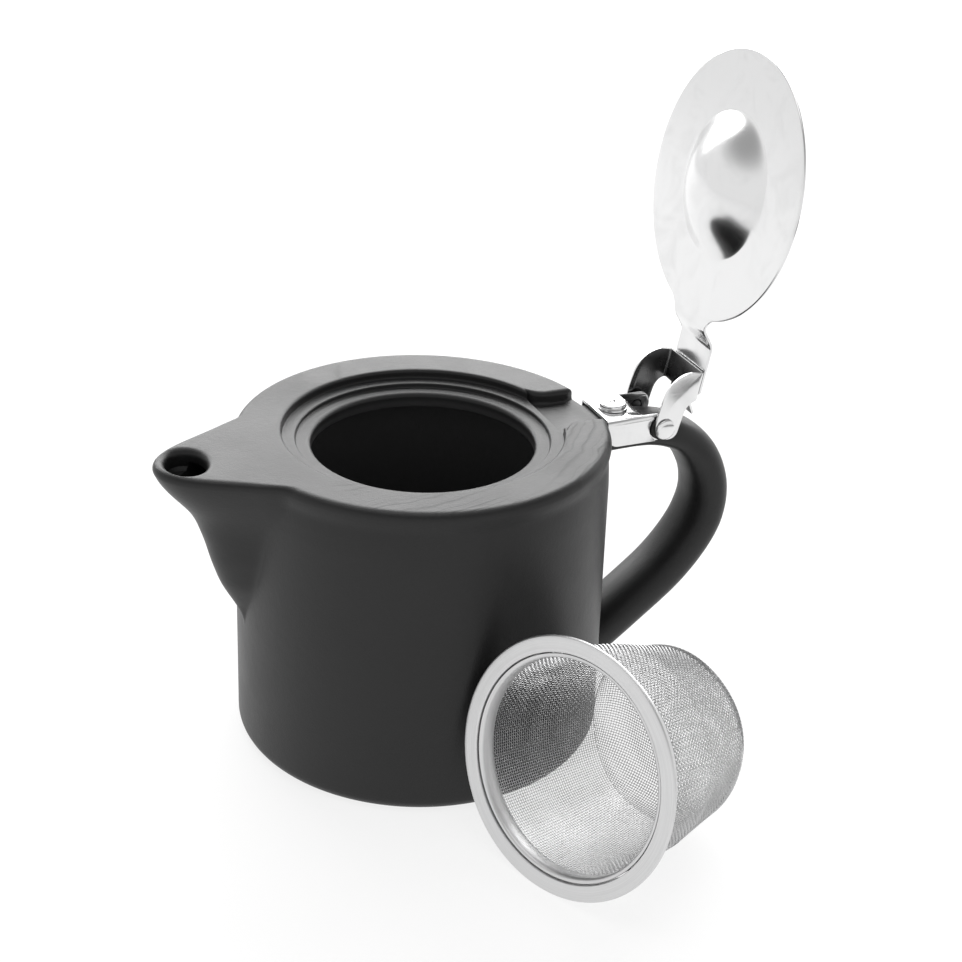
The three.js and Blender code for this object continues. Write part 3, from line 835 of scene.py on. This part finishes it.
def handle_loft(settings):
    """The loop of the handle, wider below its crown and flared where it joins the wall."""
    path = [p for p in smooth_path(HANDLE_LINE, 1.6) if p.x > 49.0]
    thick = settings.handle_thickness / MM
    wide = settings.handle_width / MM
    rings = []
    for i, p in enumerate(path):
        ahead = path[min(i + 1, len(path) - 1)]
        behind = path[max(i - 1, 0)]
        tangent = (ahead - behind).normalized()
        normal = Vector((tangent.z, 0, -tangent.x))
        share = i / (len(path) - 1)
        width = between([(0, wide - 4), (0.28, wide - 4), (0.52, wide), (1, wide)], share)
        flare = 1 + 0.24 * max(0.0, 1 - (p.x - 51.5) / 6.5) ** 2.4 if p.x < 58 else 1.0
        if share < 0.5:
            flare = 1.0
        slim = between(HANDLE_SLIM, share)
        ring = []
        for k in range(40):
            angle = k / 40 * 2 * math.pi
            c, s = math.cos(angle), math.sin(angle)
            square = (abs(c) ** 2.3 + abs(s) ** 2.3) ** (-1 / 2.3) * flare
            out = c * square * thick / 2 * (slim if c > 0 else 1.0)
            ring.append(p + normal * out + Vector((0, -s * square * width / 2, 0)))
        rings.append([tuple(q) for q in ring])
    return swept("Handle", rings)


class TEAPOT_OT_pot(bpy.types.Operator):
    """Body, spout and handle, which are one fired piece"""

    bl_idname = "teapot.pot"
    bl_label = "Stoneware Pot"

    def execute(self, context):
        settings = context.scene.teapot_pot
        pot = pot_shell(settings)
        combine(pot, handle_loft(settings), "UNION")
        pad = block("Pad", 49.5, 64.6, -7.5, 7.5, 79.0, 87.5, 1.2)
        combine(pot, pad, "UNION")
        passage, mouth = spout_cutters(settings)
        combine(pot, passage, "DIFFERENCE")
        combine(pot, mouth, "DIFFERENCE")
        combine(pot, channel_cutter(settings), "DIFFERENCE")
        combine(pot, rod("Bore", 4.0, (SCREW_X, 0, ANCHOR_LOW), (SCREW_X, 0, 90.0)), "DIFFERENCE")
        tidy_mesh(pot)
        pot.name = "stoneware_pot"
        finish_piece(pot, "pot", matt_glaze(settings),
                     ("pot_body", "pot_spout", "pot_handle"), 32)
        return {"FINISHED"}


# ---- hinge ------------------------------------------------------------------------------


def bent_side(half, top, bottom, bend):
    """One side of a bent sheet's section, up from its lower edge and round the bend."""
    turns = np.linspace(0, math.pi / 2, 8)
    round_bend = [(half - bend + bend * math.cos(a), top - bend + bend * math.sin(a)) for a in turns]
    return [(half, bottom)] + round_bend


def sheet_channel(name, x0, x1, half, top, bottom, sheet, bend):
    """A sheet bent into a channel with its web on top, running along X."""
    outer = bent_side(half, top, bottom, bend)
    inner = bent_side(half - sheet, top - sheet, bottom, bend - sheet)
    outline = outer + [(-y, z) for y, z in reversed(outer)]
    outline += [(-y, z) for y, z in inner] + list(reversed(inner))
    rings = [[(x, y, z) for y, z in outline] for x in (x0, x1)]
    return swept(name, rings)


def cross_recess(centre_x, top, depth):
    """A cutter for the cross in a screw's head."""
    cutters = []
    for turn in (20, 110):
        blade = block("Blade", -2.0, 2.0, -0.42, 0.42, top - depth, top + 1.0)
        activate(blade)
        for vertex in blade.data.vertices:
            if vertex.co.z < (top - depth / 2) * MM:
                vertex.co.x *= 0.42
                vertex.co.y *= 0.7
        moved(blade, shift(centre_x, 0, 0) @ Matrix.Rotation(math.radians(turn), 4, "Z"))
        cutters.append(blade)
    return cutters


class TEAPOT_OT_hinge(bpy.types.Operator):
    """Bracket on the pot, its screw and washer, and the two pivots with their washers"""

    bl_idname = "teapot.hinge"
    bl_label = "Hinge Bracket"

    def execute(self, context):
        settings = context.scene.teapot_hinge
        steel = steel_finish("Polished steel", tuple(settings.steel), 0.17, 0.07, 0.05)
        self.bracket(settings, steel)
        self.screw(settings, steel)
        self.pivots(settings, steel)
        self.anchor()
        return {"FINISHED"}

    def anchor(self):
        low, high = (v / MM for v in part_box("screw_anchor"))
        outer = (high.x - low.x) / 2
        profile = [(1.8, ANCHOR_LOW), (outer - 0.2, ANCHOR_LOW), (outer, ANCHOR_LOW + 0.2),
                   (outer, high.z - 0.2),
                   (outer - 0.2, high.z), (1.8, high.z), (1.8, ANCHOR_LOW)]
        anchor = moved(turned("screw_anchor_sleeve", profile, 56), shift(SCREW_X, 0, 0))
        finish_piece(anchor, "pot", turned_brass(), ("screw_anchor",), 35)

    def bracket(self, settings, steel):
        low, high = (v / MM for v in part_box("hinge_bracket"))
        sheet, half = settings.sheet / MM, settings.half_width / MM
        bracket = sheet_channel("hinge_plate", low.x, high.x + 1, half, high.z, low.z - 1, sheet, 1.7)
        middle = (high.z + low.z) / 2
        ear = (high.z - low.z) / 2
        outline = [(low.x, high.z + 0.5), (low.x, low.z + 3.6)]
        outline += [(low.x + 3.6 + 3.6 * math.cos(a), low.z + 3.6 + 3.6 * math.sin(a))
                    for a in np.linspace(math.pi, 1.5 * math.pi, 9)[1:]]
        outline += [(PIVOT.x + ear * math.cos(a), middle + ear * math.sin(a))
                    for a in np.linspace(-math.pi / 2, math.pi / 2, 22)]
        outline += [(PIVOT.x - 2.5, high.z + 0.0), (PIVOT.x - 3.5, high.z + 0.5)]
        combine(bracket, upright_slab("Side", outline, -12, 12), "INTERSECT")
        clear = half - sheet - 0.35
        gap = block("Gap", 64.2, high.x + 3, -clear, clear, high.z - 2.6, high.z + 3)
        combine(bracket, gap, "DIFFERENCE")
        notch = block("Notch", 66.0, high.x + 3, -half - 1, half + 1, high.z - 0.05, high.z + 3)
        combine(bracket, notch, "DIFFERENCE")
        for side in (-1, 1):
            start = (PIVOT.x, side * (half - 0.5), PIVOT.z)
            end = (PIVOT.x, side * (half + 1), PIVOT.z)
            combine(bracket, rod("Recess", 4.4, start, end, 64), "DIFFERENCE")
        pivot_bore = rod("Pivot bore", 1.8, (PIVOT.x, -12, PIVOT.z), (PIVOT.x, 12, PIVOT.z))
        combine(bracket, pivot_bore, "DIFFERENCE")
        combine(bracket, rod("Screw bore", 2.0, (SCREW_X, 0, 80), (SCREW_X, 0, 95)), "DIFFERENCE")
        tidy_mesh(bracket)
        bevel(bracket, 0.12, 2, 50)
        finish_piece(bracket, "pot", steel, ("hinge_bracket",), 30)

    def screw(self, settings, steel):
        low, high = (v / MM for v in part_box("screw_washer"))
        outer = (high.x - low.x) / 2
        seat = low.z + 0.5
        head = settings.screw_head_radius / MM
        foot = ANCHOR_LOW + 0.3
        top = seat + 1.45
        profile = [(0, foot), (1.3, foot), (1.5, foot + 0.3), (1.5, seat), (head - 0.2, seat),
                   (head, seat + 0.2),
                   (head, seat + 0.7)]
        profile += [(head - 0.6 + 0.6 * math.cos(a), seat + 0.7 + 0.6 * math.sin(a))
                    for a in np.linspace(0.2, 1.45, 8)]
        profile += [(2.4, top - 0.08), (1.5, top - 0.04), (0.7, top - 0.01), (0, top)]
        screw = moved(turned("pan_head_screw", profile, 72), shift(SCREW_X, 0, 0))
        for blade in cross_recess(SCREW_X, top, 1.0):
            combine(screw, blade, "DIFFERENCE")
        bevel(screw, 0.06, 2, 40)
        # painted shade: the faces inside the cross recess are marked to be darkened
        paint_shade_over(screw, lambda x, y, z: (np.hypot(x - SCREW_X, y) < 2.3)
                            & (z < top - 0.25) & (z > top - 1.3))
        finish_piece(screw, "pot", steel, ("bracket_screw",), 35)
        edge = 0.1
        profile = [(2.0, low.z + edge), (2.0, seat - edge), (2.0 + edge, seat), (outer - 2 * edge, seat),
                   (outer - 0.5 * edge, seat - 0.5 * edge), (outer, seat - 2 * edge), (outer, low.z + edge),
                   (outer - edge, low.z), (2.0 + edge, low.z), (2.0, low.z + edge)]
        washer = moved(turned("screw_washer_disc", profile, 72), shift(SCREW_X, 0, 0))
        finish_piece(washer, "pot", steel, ("screw_washer",), 35)

    def pivots(self, settings, steel):
        for side, turn in (("far", -90), ("near", 90)):
            place = shift(PIVOT.x, 0, PIVOT.z) @ Matrix.Rotation(math.radians(turn), 4, "X")
            low, high = (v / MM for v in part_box(f"pivot_washer_{side}"))
            start, end = sorted((abs(low.y), abs(high.y)))
            outer = (high.x - low.x) / 2
            profile = [(1.8, start), (outer - 0.15, start), (outer, start + 0.15), (outer, end - 0.15),
                       (outer - 0.15, end), (1.8, end), (1.8, start)]
            washer = moved(turned(f"pivot_washer_disc_{side}", profile, 56), place)
            finish_piece(washer, "pot", dark_fibre(), (f"pivot_washer_{side}",), 35)
            low, high = (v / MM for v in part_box(f"pivot_rivet_{side}"))
            start, end = sorted((abs(low.y), abs(high.y)))
            head = settings.rivet_head_radius / MM
            seat = end - 1.0
            profile = [(0, start), (1.4, start), (1.4, seat), (head - 0.12, seat), (head, seat + 0.12),
                       (head, seat + 0.28)]
            profile += [(head * math.cos(a), seat + 0.28 + 0.72 * math.sin(a))
                        for a in np.linspace(0.12, 1.5, 9)]
            profile += [(0, end)]
            rivet = moved(turned(f"pivot_rivet_stud_{side}", profile, 56), place)
            finish_piece(rivet, "pot", steel, (f"pivot_rivet_{side}",), 40)


# ---- lid --------------------------------------------------------------------------------
# Its pieces are made closed, with the pivot at the origin and the disc towards -X.


def opened():
    """From the closed place about the pivot to the open place in the frame."""
    return shift(*PIVOT) @ Matrix.Rotation(OPEN_ANGLE, 4, "Y")


class TEAPOT_OT_lid(bpy.types.Operator):
    """Lid disc with its pressed dish and tab, and the yoke that carries it"""

    bl_idname = "teapot.lid"
    bl_label = "Lid and Yoke"

    REACH = 69.8
    SEAT = 5.3
    TAB = 9.4

    def execute(self, context):
        settings = context.scene.teapot_lid
        mirror = steel_finish("Mirror steel", tuple(settings.steel), 0.17, 0.05, 0.03)
        steel = steel_finish("Polished steel", tuple(context.scene.teapot_hinge.steel), 0.17, 0.07, 0.05)
        self.plate(settings, mirror)
        self.yoke(settings, steel)
        return {"FINISHED"}

    def plate(self, settings, mirror):
        radius, sheet = settings.radius / MM, settings.sheet / MM
        dish, depth = settings.dish_radius / MM, settings.dish_depth / MM
        half = sheet / 2

        def drop(r):
            return depth * (1 - min(r / dish, 1.0) ** 2.4) ** 1.35

        stations = list(np.linspace(0, dish - 3, 30)) + list(np.linspace(dish - 2.7, dish + 0.3, 24))
        stations += list(np.linspace(dish + 1.5, radius - half, 16))
        under = [(r, -half - drop(r)) for r in stations]
        over = [(r, half - drop(r)) for r in reversed(stations)]
        edge = arc(radius - half, 0, half, -75, 75, 6)
        disc = moved(turned("lid_disc", under + edge + over, 220), shift(-self.REACH, 0, self.SEAT))
        self.tab(disc, settings)
        tidy_mesh(disc)
        moved(disc, opened())
        finish_piece(disc, "lid", mirror, ("lid_plate",), 40)

    def tab(self, disc, settings):
        """A joggled strip from the disc's edge back to the yoke."""
        half = settings.sheet / MM / 2
        wide = settings.tab_half_width / MM
        stations = np.concatenate([np.linspace(36.5, 31.5, 11), np.linspace(31.0, 23.5, 24),
                                   np.linspace(22.5, 9.6, 10)])
        rings = []
        for a in stations:
            flare = 4.4 * max(0.0, (a - 29.2) / 5.6) ** 2.2
            share = min(max((31.0 - a) / 7.0, 0.0), 1.0)
            rise = share * share * (3 - 2 * share)
            z = self.SEAT + (self.TAB - self.SEAT) * rise
            lean = (self.TAB - self.SEAT) / 7.0 * 6 * share * (1 - share)
            thick = half / math.cos(math.atan(lean))
            thick = thick if a < 32.5 else half - 0.015
            corner = 1.6 * (1 - math.sqrt(max(0.0, 1 - max(0.0, (11.2 - a) / 1.6) ** 2))) if a < 11.2 else 0.0
            w = wide + flare - corner
            row = [(-a, y, z - thick) for y in np.linspace(-w + 0.1, w - 0.1, 13)]
            row = [(-a, -w, z - thick + 0.1)] + row + [(-a, w, z - thick + 0.1), (-a, w, z + thick - 0.1)]
            row += [(-a, y, z + thick) for y in np.linspace(w - 0.1, -w + 0.1, 13)]
            row += [(-a, -w, z + thick - 0.1)]
            rings.append(row)
        combine(disc, swept("Tab", rings), "UNION")

    def yoke(self, settings, steel):
        sheet = settings.sheet / MM
        inner, top = 9.15, 8.6
        yoke = sheet_channel("lid_yoke_sheet", -17.6, 4.5, inner + sheet, top, -4.0, sheet, 1.5)
        outline = [(-17.6, 4.4)]
        outline += bow((-17.6, 4.4), (-16.4, -1.0), (-10, -2.6))
        outline += bow((-10, -2.6), (-5.5, -3.3), (-1, -3.2), 6)
        outline += bow((-1, -3.2), (3.2, -2.9), (3.2, 0.6), 8)
        outline += bow((3.2, 0.6), (3.4, 3.6), (1.0, 4.3), 6)
        outline += bow((1.0, 4.3), (-2.2, 4.6), (-5.2, 4.9), 5)
        outline += bow((-5.2, 4.9), (-8.6, 5.4), (-9.4, 8.7), 10)
        outline += [(-9.4, 9.5), (-17.6, 9.5)]
        combine(yoke, upright_slab("Cheek", outline, -12, 12), "INTERSECT")
        half = sheet / 2
        tongue = [(-10.6, 8.2 - half), (-8.2, 8.2 - half), (-6.9, 8.5), (-5.6, 9.3), (-3.0, 10.9),
                  (-3.4, 11.6), (-5.9, 10.0), (-7.4, 9.1), (-8.5, 8.2 + half), (-10.6, 8.2 + half - 0.01)]
        strip = bevel(upright_slab("Tongue", tongue, -5, 5), 0.1, 1, 60)
        combine(yoke, strip, "UNION")
        combine(yoke, rod("Pivot bore", 1.8, (0, -12, 0), (0, 12, 0)), "DIFFERENCE")
        tidy_mesh(yoke)
        bevel(yoke, 0.12, 2, 50)
        # painted shade: the cheeks' inner faces and the web's underside are marked to be darkened, standing
        # in for the shade between the cheeks
        paint_shade_over(yoke, lambda x, y, z: (np.abs(y) < inner + 0.2) & (z < top - sheet + 0.2))
        moved(yoke, opened())
        finish_piece(yoke, "lid", steel, ("lid_yoke",), 30)


# ---- infuser ----------------------------------------------------------------------------
# Made upright with the top of its rim at z = 0 and its cup below, then laid down.

CUP_MOUTH = 29.35
CUP_BOTTOM = 24.5
CUP_ROUNDING = 8.0
INFUSER_PLACE = (5.9, -86.2)
INFUSER_AZIMUTH = math.radians(23.5)


def laid(settings):
    """From upright to lying on the table, touching it with the rim and the cup's rounded foot."""
    rim, depth = settings.rim_radius / MM, settings.depth / MM
    along = depth - CUP_ROUNDING
    across = rim - (CUP_BOTTOM - CUP_ROUNDING)
    dip = math.acos(CUP_ROUNDING / math.hypot(along, across)) - math.atan2(along, across)
    place = shift(*INFUSER_PLACE, rim * math.cos(dip))
    return place @ Matrix.Rotation(INFUSER_AZIMUTH, 4, "Z") @ Matrix.Rotation(dip - math.pi / 2, 4, "Y")


def brushed_round(obj):
    """The attribute that turned brushing follows: radius, height and a slow turn."""
    points = mesh_points(obj)
    radius = np.hypot(points[:, 0], points[:, 1])
    turn = points[:, 0] / np.maximum(radius, 1e-6)
    carry(obj, "brush", np.stack([radius, points[:, 2], turn * 0.35], 1))
    return obj


def cup_wall(depth_down):
    """The cup's radius on its wall at a depth below the rim."""
    return np.interp(depth_down, [0, 8, 24, 42.3], [CUP_MOUTH, CUP_MOUTH, 28.0, CUP_BOTTOM - 0.2])


# Direction, depth, width, height and length of each dent in the basket.
DENTS = [(1.15, 0.5, 0.1, -19, 9), (2.35, 0.45, 0.09, -22, 10), (-0.6, 0.4, 0.12, -27, 8)]


def dented(points):
    """The soft dents and creases of a basket that has been handled."""
    x, y, z = points[..., 0], points[..., 1], points[..., 2]
    radius = np.maximum(np.hypot(x, y), 1e-6)
    turn = np.arctan2(y, x)
    free = np.clip((-z - 7) / 12, 0, 1) * np.clip(radius / 20, 0, 1)
    push = 0.22 * np.sin(2 * turn + 0.6) * free + 0.12 * np.sin(5 * turn + z * 0.12) * free
    for centre, deep, wide, at, span in DENTS:
        away = (turn - centre + math.pi) % (2 * math.pi) - math.pi
        push -= deep * np.exp(-(away / wide) ** 2 - ((z - at) / span) ** 2) * free
    out = points.copy()
    out[..., 0] = x * (1 + push / radius)
    out[..., 1] = y * (1 + push / radius)
    return out


def wires(name, paths, radius, closed):
    """Wires along paths, an array of [wire, point, xyz], each with a three-sided section."""
    count, stops, _ = paths.shape
    ahead = np.roll(paths, -1, 1)
    behind = np.roll(paths, 1, 1)
    if not closed:
        ahead[:, -1] = paths[:, -1]
        behind[:, 0] = paths[:, 0]
    along = ahead - behind
    along /= np.maximum(np.linalg.norm(along, axis=2, keepdims=True), 1e-9)
    aside = np.cross(along, np.where(np.abs(along[..., 2:]) > 0.9, [[[1.0, 0, 0]]], [[[0, 0, 1.0]]]))
    aside /= np.maximum(np.linalg.norm(aside, axis=2, keepdims=True), 1e-9)
    up = np.cross(aside, along)
    corners = []
    for k in range(3):
        a = 2 * math.pi * k / 3
        corners.append(paths + radius * (math.cos(a) * aside + math.sin(a) * up))
    points = np.stack(corners, 2).reshape(-1, 3)
    steps = stops if closed else stops - 1
    w, i, k = np.meshgrid(np.arange(count), np.arange(steps), np.arange(3), indexing="ij")
    def index(step, corner):
        return (w * stops + step % stops) * 3 + corner % 3
    faces = np.stack([index(i, k), index(i, k + 1), index(i + 1, k + 1), index(i + 1, k)], -1).reshape(-1, 4)
    loose = faces.tolist()
    if not closed:
        ends = np.arange(count) * stops * 3
        loose += [(e + 2, e + 1, e) for e in ends.tolist()]
        last = (ends + (stops - 1) * 3).tolist()
        loose += [(e, e + 1, e + 2) for e in last]
    return mesh_object(name, points.tolist(), faces=loose)


class TEAPOT_OT_infuser(bpy.types.Operator):
    """Rim, collar and woven basket of the infuser"""

    bl_idname = "teapot.infuser"
    bl_label = "Infuser Basket"

    def execute(self, context):
        settings = context.scene.teapot_infuser
        spun = spun_steel("Spun steel", tuple(settings.steel), 0.42)
        self.rim(settings, spun)
        self.collar(settings, spun)
        self.basket(settings)
        return {"FINISHED"}

    def rim(self, settings, spun):
        r = settings.rim_radius / MM
        profile = [(29.9, -6.5), (30.1, -6.6), (30.4, -6.4), (30.4, -1.8), (30.55, -1.4),
                   (30.9, -1.2), (33.6, -1.2)]
        profile += arc(r - 0.6, -0.6, 0.6, -80, 80, 8)
        profile += [(33.2, 0.0), (32.2, -0.03), (31.2, -0.03), (30.4, 0.0)]
        profile += arc(30.2, -0.32, 0.3, 90, 175, 4)
        profile += [(29.9, -1.0), (29.9, -6.5)]
        rim = brushed_round(turned("infuser_rim_ring", profile, 200))
        moved(rim, laid(settings))
        finish_piece(rim, "infuser", spun, ("infuser_rim",), 50)

    def collar(self, settings, spun):
        profile = [(28.3, -4.9), (28.45, -5.05), (28.7, -5.0), (28.8, -4.8), (28.8, -1.6),
                   (28.95, -1.25), (29.3, -1.1), (29.55, -1.05), (29.6, -0.8), (29.5, -0.62),
                   (29.1, -0.6), (28.65, -0.8), (28.38, -1.3), (28.3, -2.0),
                   (28.3, -4.9)]
        collar = brushed_round(turned("infuser_collar_ring", profile, 200))
        moved(collar, laid(settings))
        finish_piece(collar, "infuser", spun, ("infuser_collar",), 50)

    def basket(self, settings):
        steel = wire_steel(settings)
        radius = settings.wire_radius / MM
        warps = settings.warps
        depth = settings.depth / MM
        pitch = 2 * math.pi * 28.8 / warps
        # down the wall, with a little spare under the rim
        downs = np.arange(-5.2, -(depth - CUP_ROUNDING) - 0.01, -pitch)
        radii = cup_wall(-downs)
        turns = np.arange(warps) / warps * 2 * math.pi
        sign = np.where((np.arange(warps)[:, None] + np.arange(len(downs))[None, :]) % 2 == 0, 1.0, -1.0)
        shape = np.ones((warps, len(downs)))
        def around(r):
            return np.stack([r * np.cos(turns)[:, None] * shape, r * np.sin(turns)[:, None] * shape,
                             downs[None, :] * shape], -1)
        seat = radii[None, :] - 0.25
        warp_paths = dented(around(seat + sign * radius))
        weft_paths = dented(around(seat - sign * radius)).transpose(1, 0, 2)
        warp = moved(wires("infuser_warp_wires", warp_paths, radius, False), laid(settings))
        weft = wires("infuser_weft_wires", np.ascontiguousarray(weft_paths), radius, True)
        weft = moved(weft, laid(settings))
        # square weave over the bottom and its rounding
        reach = (CUP_BOTTOM - CUP_ROUNDING) + CUP_ROUNDING * math.pi / 2
        lines = np.arange(-reach + pitch / 2, reach, pitch)
        def bottomed(u, v, lift):
            run = np.hypot(u, v)
            flat = CUP_BOTTOM - CUP_ROUNDING
            bend = np.clip((run - flat) / CUP_ROUNDING, 0, math.pi / 2)
            out = np.minimum(run, flat) + (CUP_ROUNDING - 0.25 + lift) * np.sin(bend)
            z = -depth + CUP_ROUNDING - (CUP_ROUNDING - 0.25 + lift) * np.cos(bend)
            share = out / np.maximum(run, 1e-6)
            return np.stack([u * share, v * share, z], -1)
        floor = []
        for k, u in enumerate(lines):
            span = math.sqrt(max(reach ** 2 - u ** 2, 0))
            stations = lines[np.abs(lines) < span]
            if len(stations) < 3:
                continue
            odd = (k + np.arange(len(lines))[np.abs(lines) < span]) % 2 * 2.0 - 1
            one = bottomed(np.full(len(stations), u), stations, odd * radius)
            two = bottomed(stations, np.full(len(stations), u), -odd * radius)
            floor += [dented(one), dented(two)]
        parts = [wires("infuser_floor_wires", path[None], radius, False) for path in floor]
        deselect()
        for part in parts:
            part.select_set(True)
        bpy.context.view_layer.objects.active = parts[0]
        bpy.ops.object.join()
        base = moved(parts[0], laid(settings))
        pieces = [warp, weft, base, self.seam(settings, radius)]
        for obj in pieces:
            finish_piece(obj, "infuser", steel, ("infuser_mesh",), 80)

    def seam(self, settings, radius):
        """The folded overlap where the cup's wall is joined."""
        centre = math.radians(-128)
        downs = np.arange(-5.2, -(settings.depth / MM - CUP_ROUNDING), -0.36)
        paths = []
        for k in range(-3, 4):
            turn = centre + k * 0.0105
            r = cup_wall(-downs) + 0.05 + 0.1 * np.where((np.arange(len(downs)) + k) % 2 == 0, 1, -1)
            paths.append(np.stack([r * math.cos(turn), r * math.sin(turn), downs], -1))
        seam = wires("infuser_seam_wires", dented(np.array(paths)), radius, False)
        return moved(seam, laid(settings))


# ---- stage ------------------------------------------------------------------------------


class TEAPOT_OT_stage(bpy.types.Operator):
    """Pale floor, a black card on it that darkens the lid's dish, soft light and the camera"""

    bl_idname = "teapot.stage"
    bl_label = "Floor, Lights and Camera"

    def execute(self, context):
        settings = context.scene.teapot_stage
        self.floor()
        self.lights(context, settings)
        self.camera(context, settings)
        context.scene.view_settings.view_transform = "Standard"
        return {"FINISHED"}

    def floor(self):
        deselect()
        bpy.ops.mesh.primitive_circle_add(vertices=96, radius=4.0, fill_type="NGON", location=(0, 0, 0))
        floor = bpy.context.object
        floor.name = "floor"
        material, n, shader = new_material("Pale floor", (0.2, 0.2, 0.2), 0.9, specular=0.1)
        place = n.add("ShaderNodeTexCoord").outputs["Object"]
        n.tree.links.new(n.mix(n.noise(place, 6.0, 2.0), (0.19, 0.19, 0.19), (0.21, 0.21, 0.21)),
                         shader.inputs["Base Color"])
        shader.inputs["Emission Color"].default_value = (1.0, 1.0, 1.0, 1.0)
        shader.inputs["Emission Strength"].default_value = 0.8
        floor.data.materials.append(material)
        deselect()
        turn = (0, 0, math.radians(45))
        bpy.ops.mesh.primitive_plane_add(size=1, location=(0.42, -0.42, 0.001), rotation=turn)
        flag = bpy.context.object
        flag.name = "black_flag"
        flag.scale = (0.5, 0.36, 1.0)
        material, n, shader = new_material("Black card", (0.02, 0.02, 0.02), 0.9, specular=0.1)
        flag.data.materials.append(material)

    def softbox(self, name, power, size, place, aim):
        data = bpy.data.lights.new(name, "AREA")
        data.shape = "RECTANGLE"
        data.size, data.size_y = size
        data.energy = power
        lamp = bpy.data.objects.new(name, data)
        bpy.context.scene.collection.objects.link(lamp)
        lamp.location = place
        lamp.rotation_euler = (Vector(aim) - Vector(place)).to_track_quat("-Z", "Y").to_euler()
        return lamp

    def lights(self, context, settings):
        world = bpy.data.worlds.new("Studio")
        context.scene.world = world
        world.use_nodes = True
        n = Nodes(world.node_tree)
        background = world.node_tree.nodes["Background"]
        background.inputs["Color"].default_value = (1.0, 1.0, 1.0, 1.0)
        place = n.add("ShaderNodeTexCoord").outputs["Generated"]
        up = n.add("ShaderNodeSeparateXYZ", {0: place}).outputs["Z"]
        n.tree.links.new(n.ramp(up, 0.35, 0.65, 1.0, 0.4), background.inputs["Strength"])
        self.softbox("Back", settings.back, (2.8, 1.3), (0.55, 1.2, 0.95), (0, 0, 0.05))
        self.softbox("Overhead", settings.overhead, (1.2, 1.2), (-0.1, 0.1, 1.5), (0, 0, 0))

    def camera(self, context, settings):
        data = bpy.data.cameras.new("Camera")
        data.lens = settings.focal_length
        data.sensor_width = 36.0
        camera = bpy.data.objects.new("Camera", data)
        context.scene.collection.objects.link(camera)
        turn = Matrix.Rotation(math.radians(-23.94), 4, "Z")
        tilt = Matrix.Rotation(math.radians(90 - 26.92), 4, "X")
        roll = Matrix.Rotation(math.radians(2.24), 4, "Z")
        camera.matrix_world = Matrix.Translation((-0.1718, -0.4275, 0.3092)) @ turn @ tilt @ roll
        context.scene.camera = camera


# ---- panel and start --------------------------------------------------------------------


class TEAPOT_PT_panel(bpy.types.Panel):
    """The operators and their settings"""

    bl_idname = "TEAPOT_PT_panel"
    bl_label = "Teapot"
    bl_space_type = "VIEW_3D"
    bl_region_type = "UI"
    bl_category = "Teapot"

    def draw(self, context):
        scene = context.scene
        for operator, settings in (("teapot.pot", scene.teapot_pot), ("teapot.hinge", scene.teapot_hinge),
                                   ("teapot.lid", scene.teapot_lid), ("teapot.infuser", scene.teapot_infuser),
                                   ("teapot.stage", scene.teapot_stage)):
            column = self.layout.column(align=True)
            column.operator(operator)
            for name in settings.__annotations__:
                column.prop(settings, name)


CLASSES = (PotSettings, HingeSettings, LidSettings, InfuserSettings, StageSettings,
           TEAPOT_OT_pot, TEAPOT_OT_hinge, TEAPOT_OT_lid, TEAPOT_OT_infuser, TEAPOT_OT_stage, TEAPOT_PT_panel)
SETTINGS = {"teapot_pot": PotSettings, "teapot_hinge": HingeSettings, "teapot_lid": LidSettings,
            "teapot_infuser": InfuserSettings, "teapot_stage": StageSettings}


def register():
    for cls in CLASSES:
        bpy.utils.register_class(cls)
    for name, cls in SETTINGS.items():
        setattr(bpy.types.Scene, name, PointerProperty(type=cls))


def unregister():
    for name in SETTINGS:
        delattr(bpy.types.Scene, name)
    for cls in reversed(CLASSES):
        bpy.utils.unregister_class(cls)


def main():
    register()
    bpy.ops.teapot.pot()
    bpy.ops.teapot.hinge()
    bpy.ops.teapot.lid()
    bpy.ops.teapot.infuser()
    bpy.ops.teapot.stage()


if __name__ == "__main__":
    main()
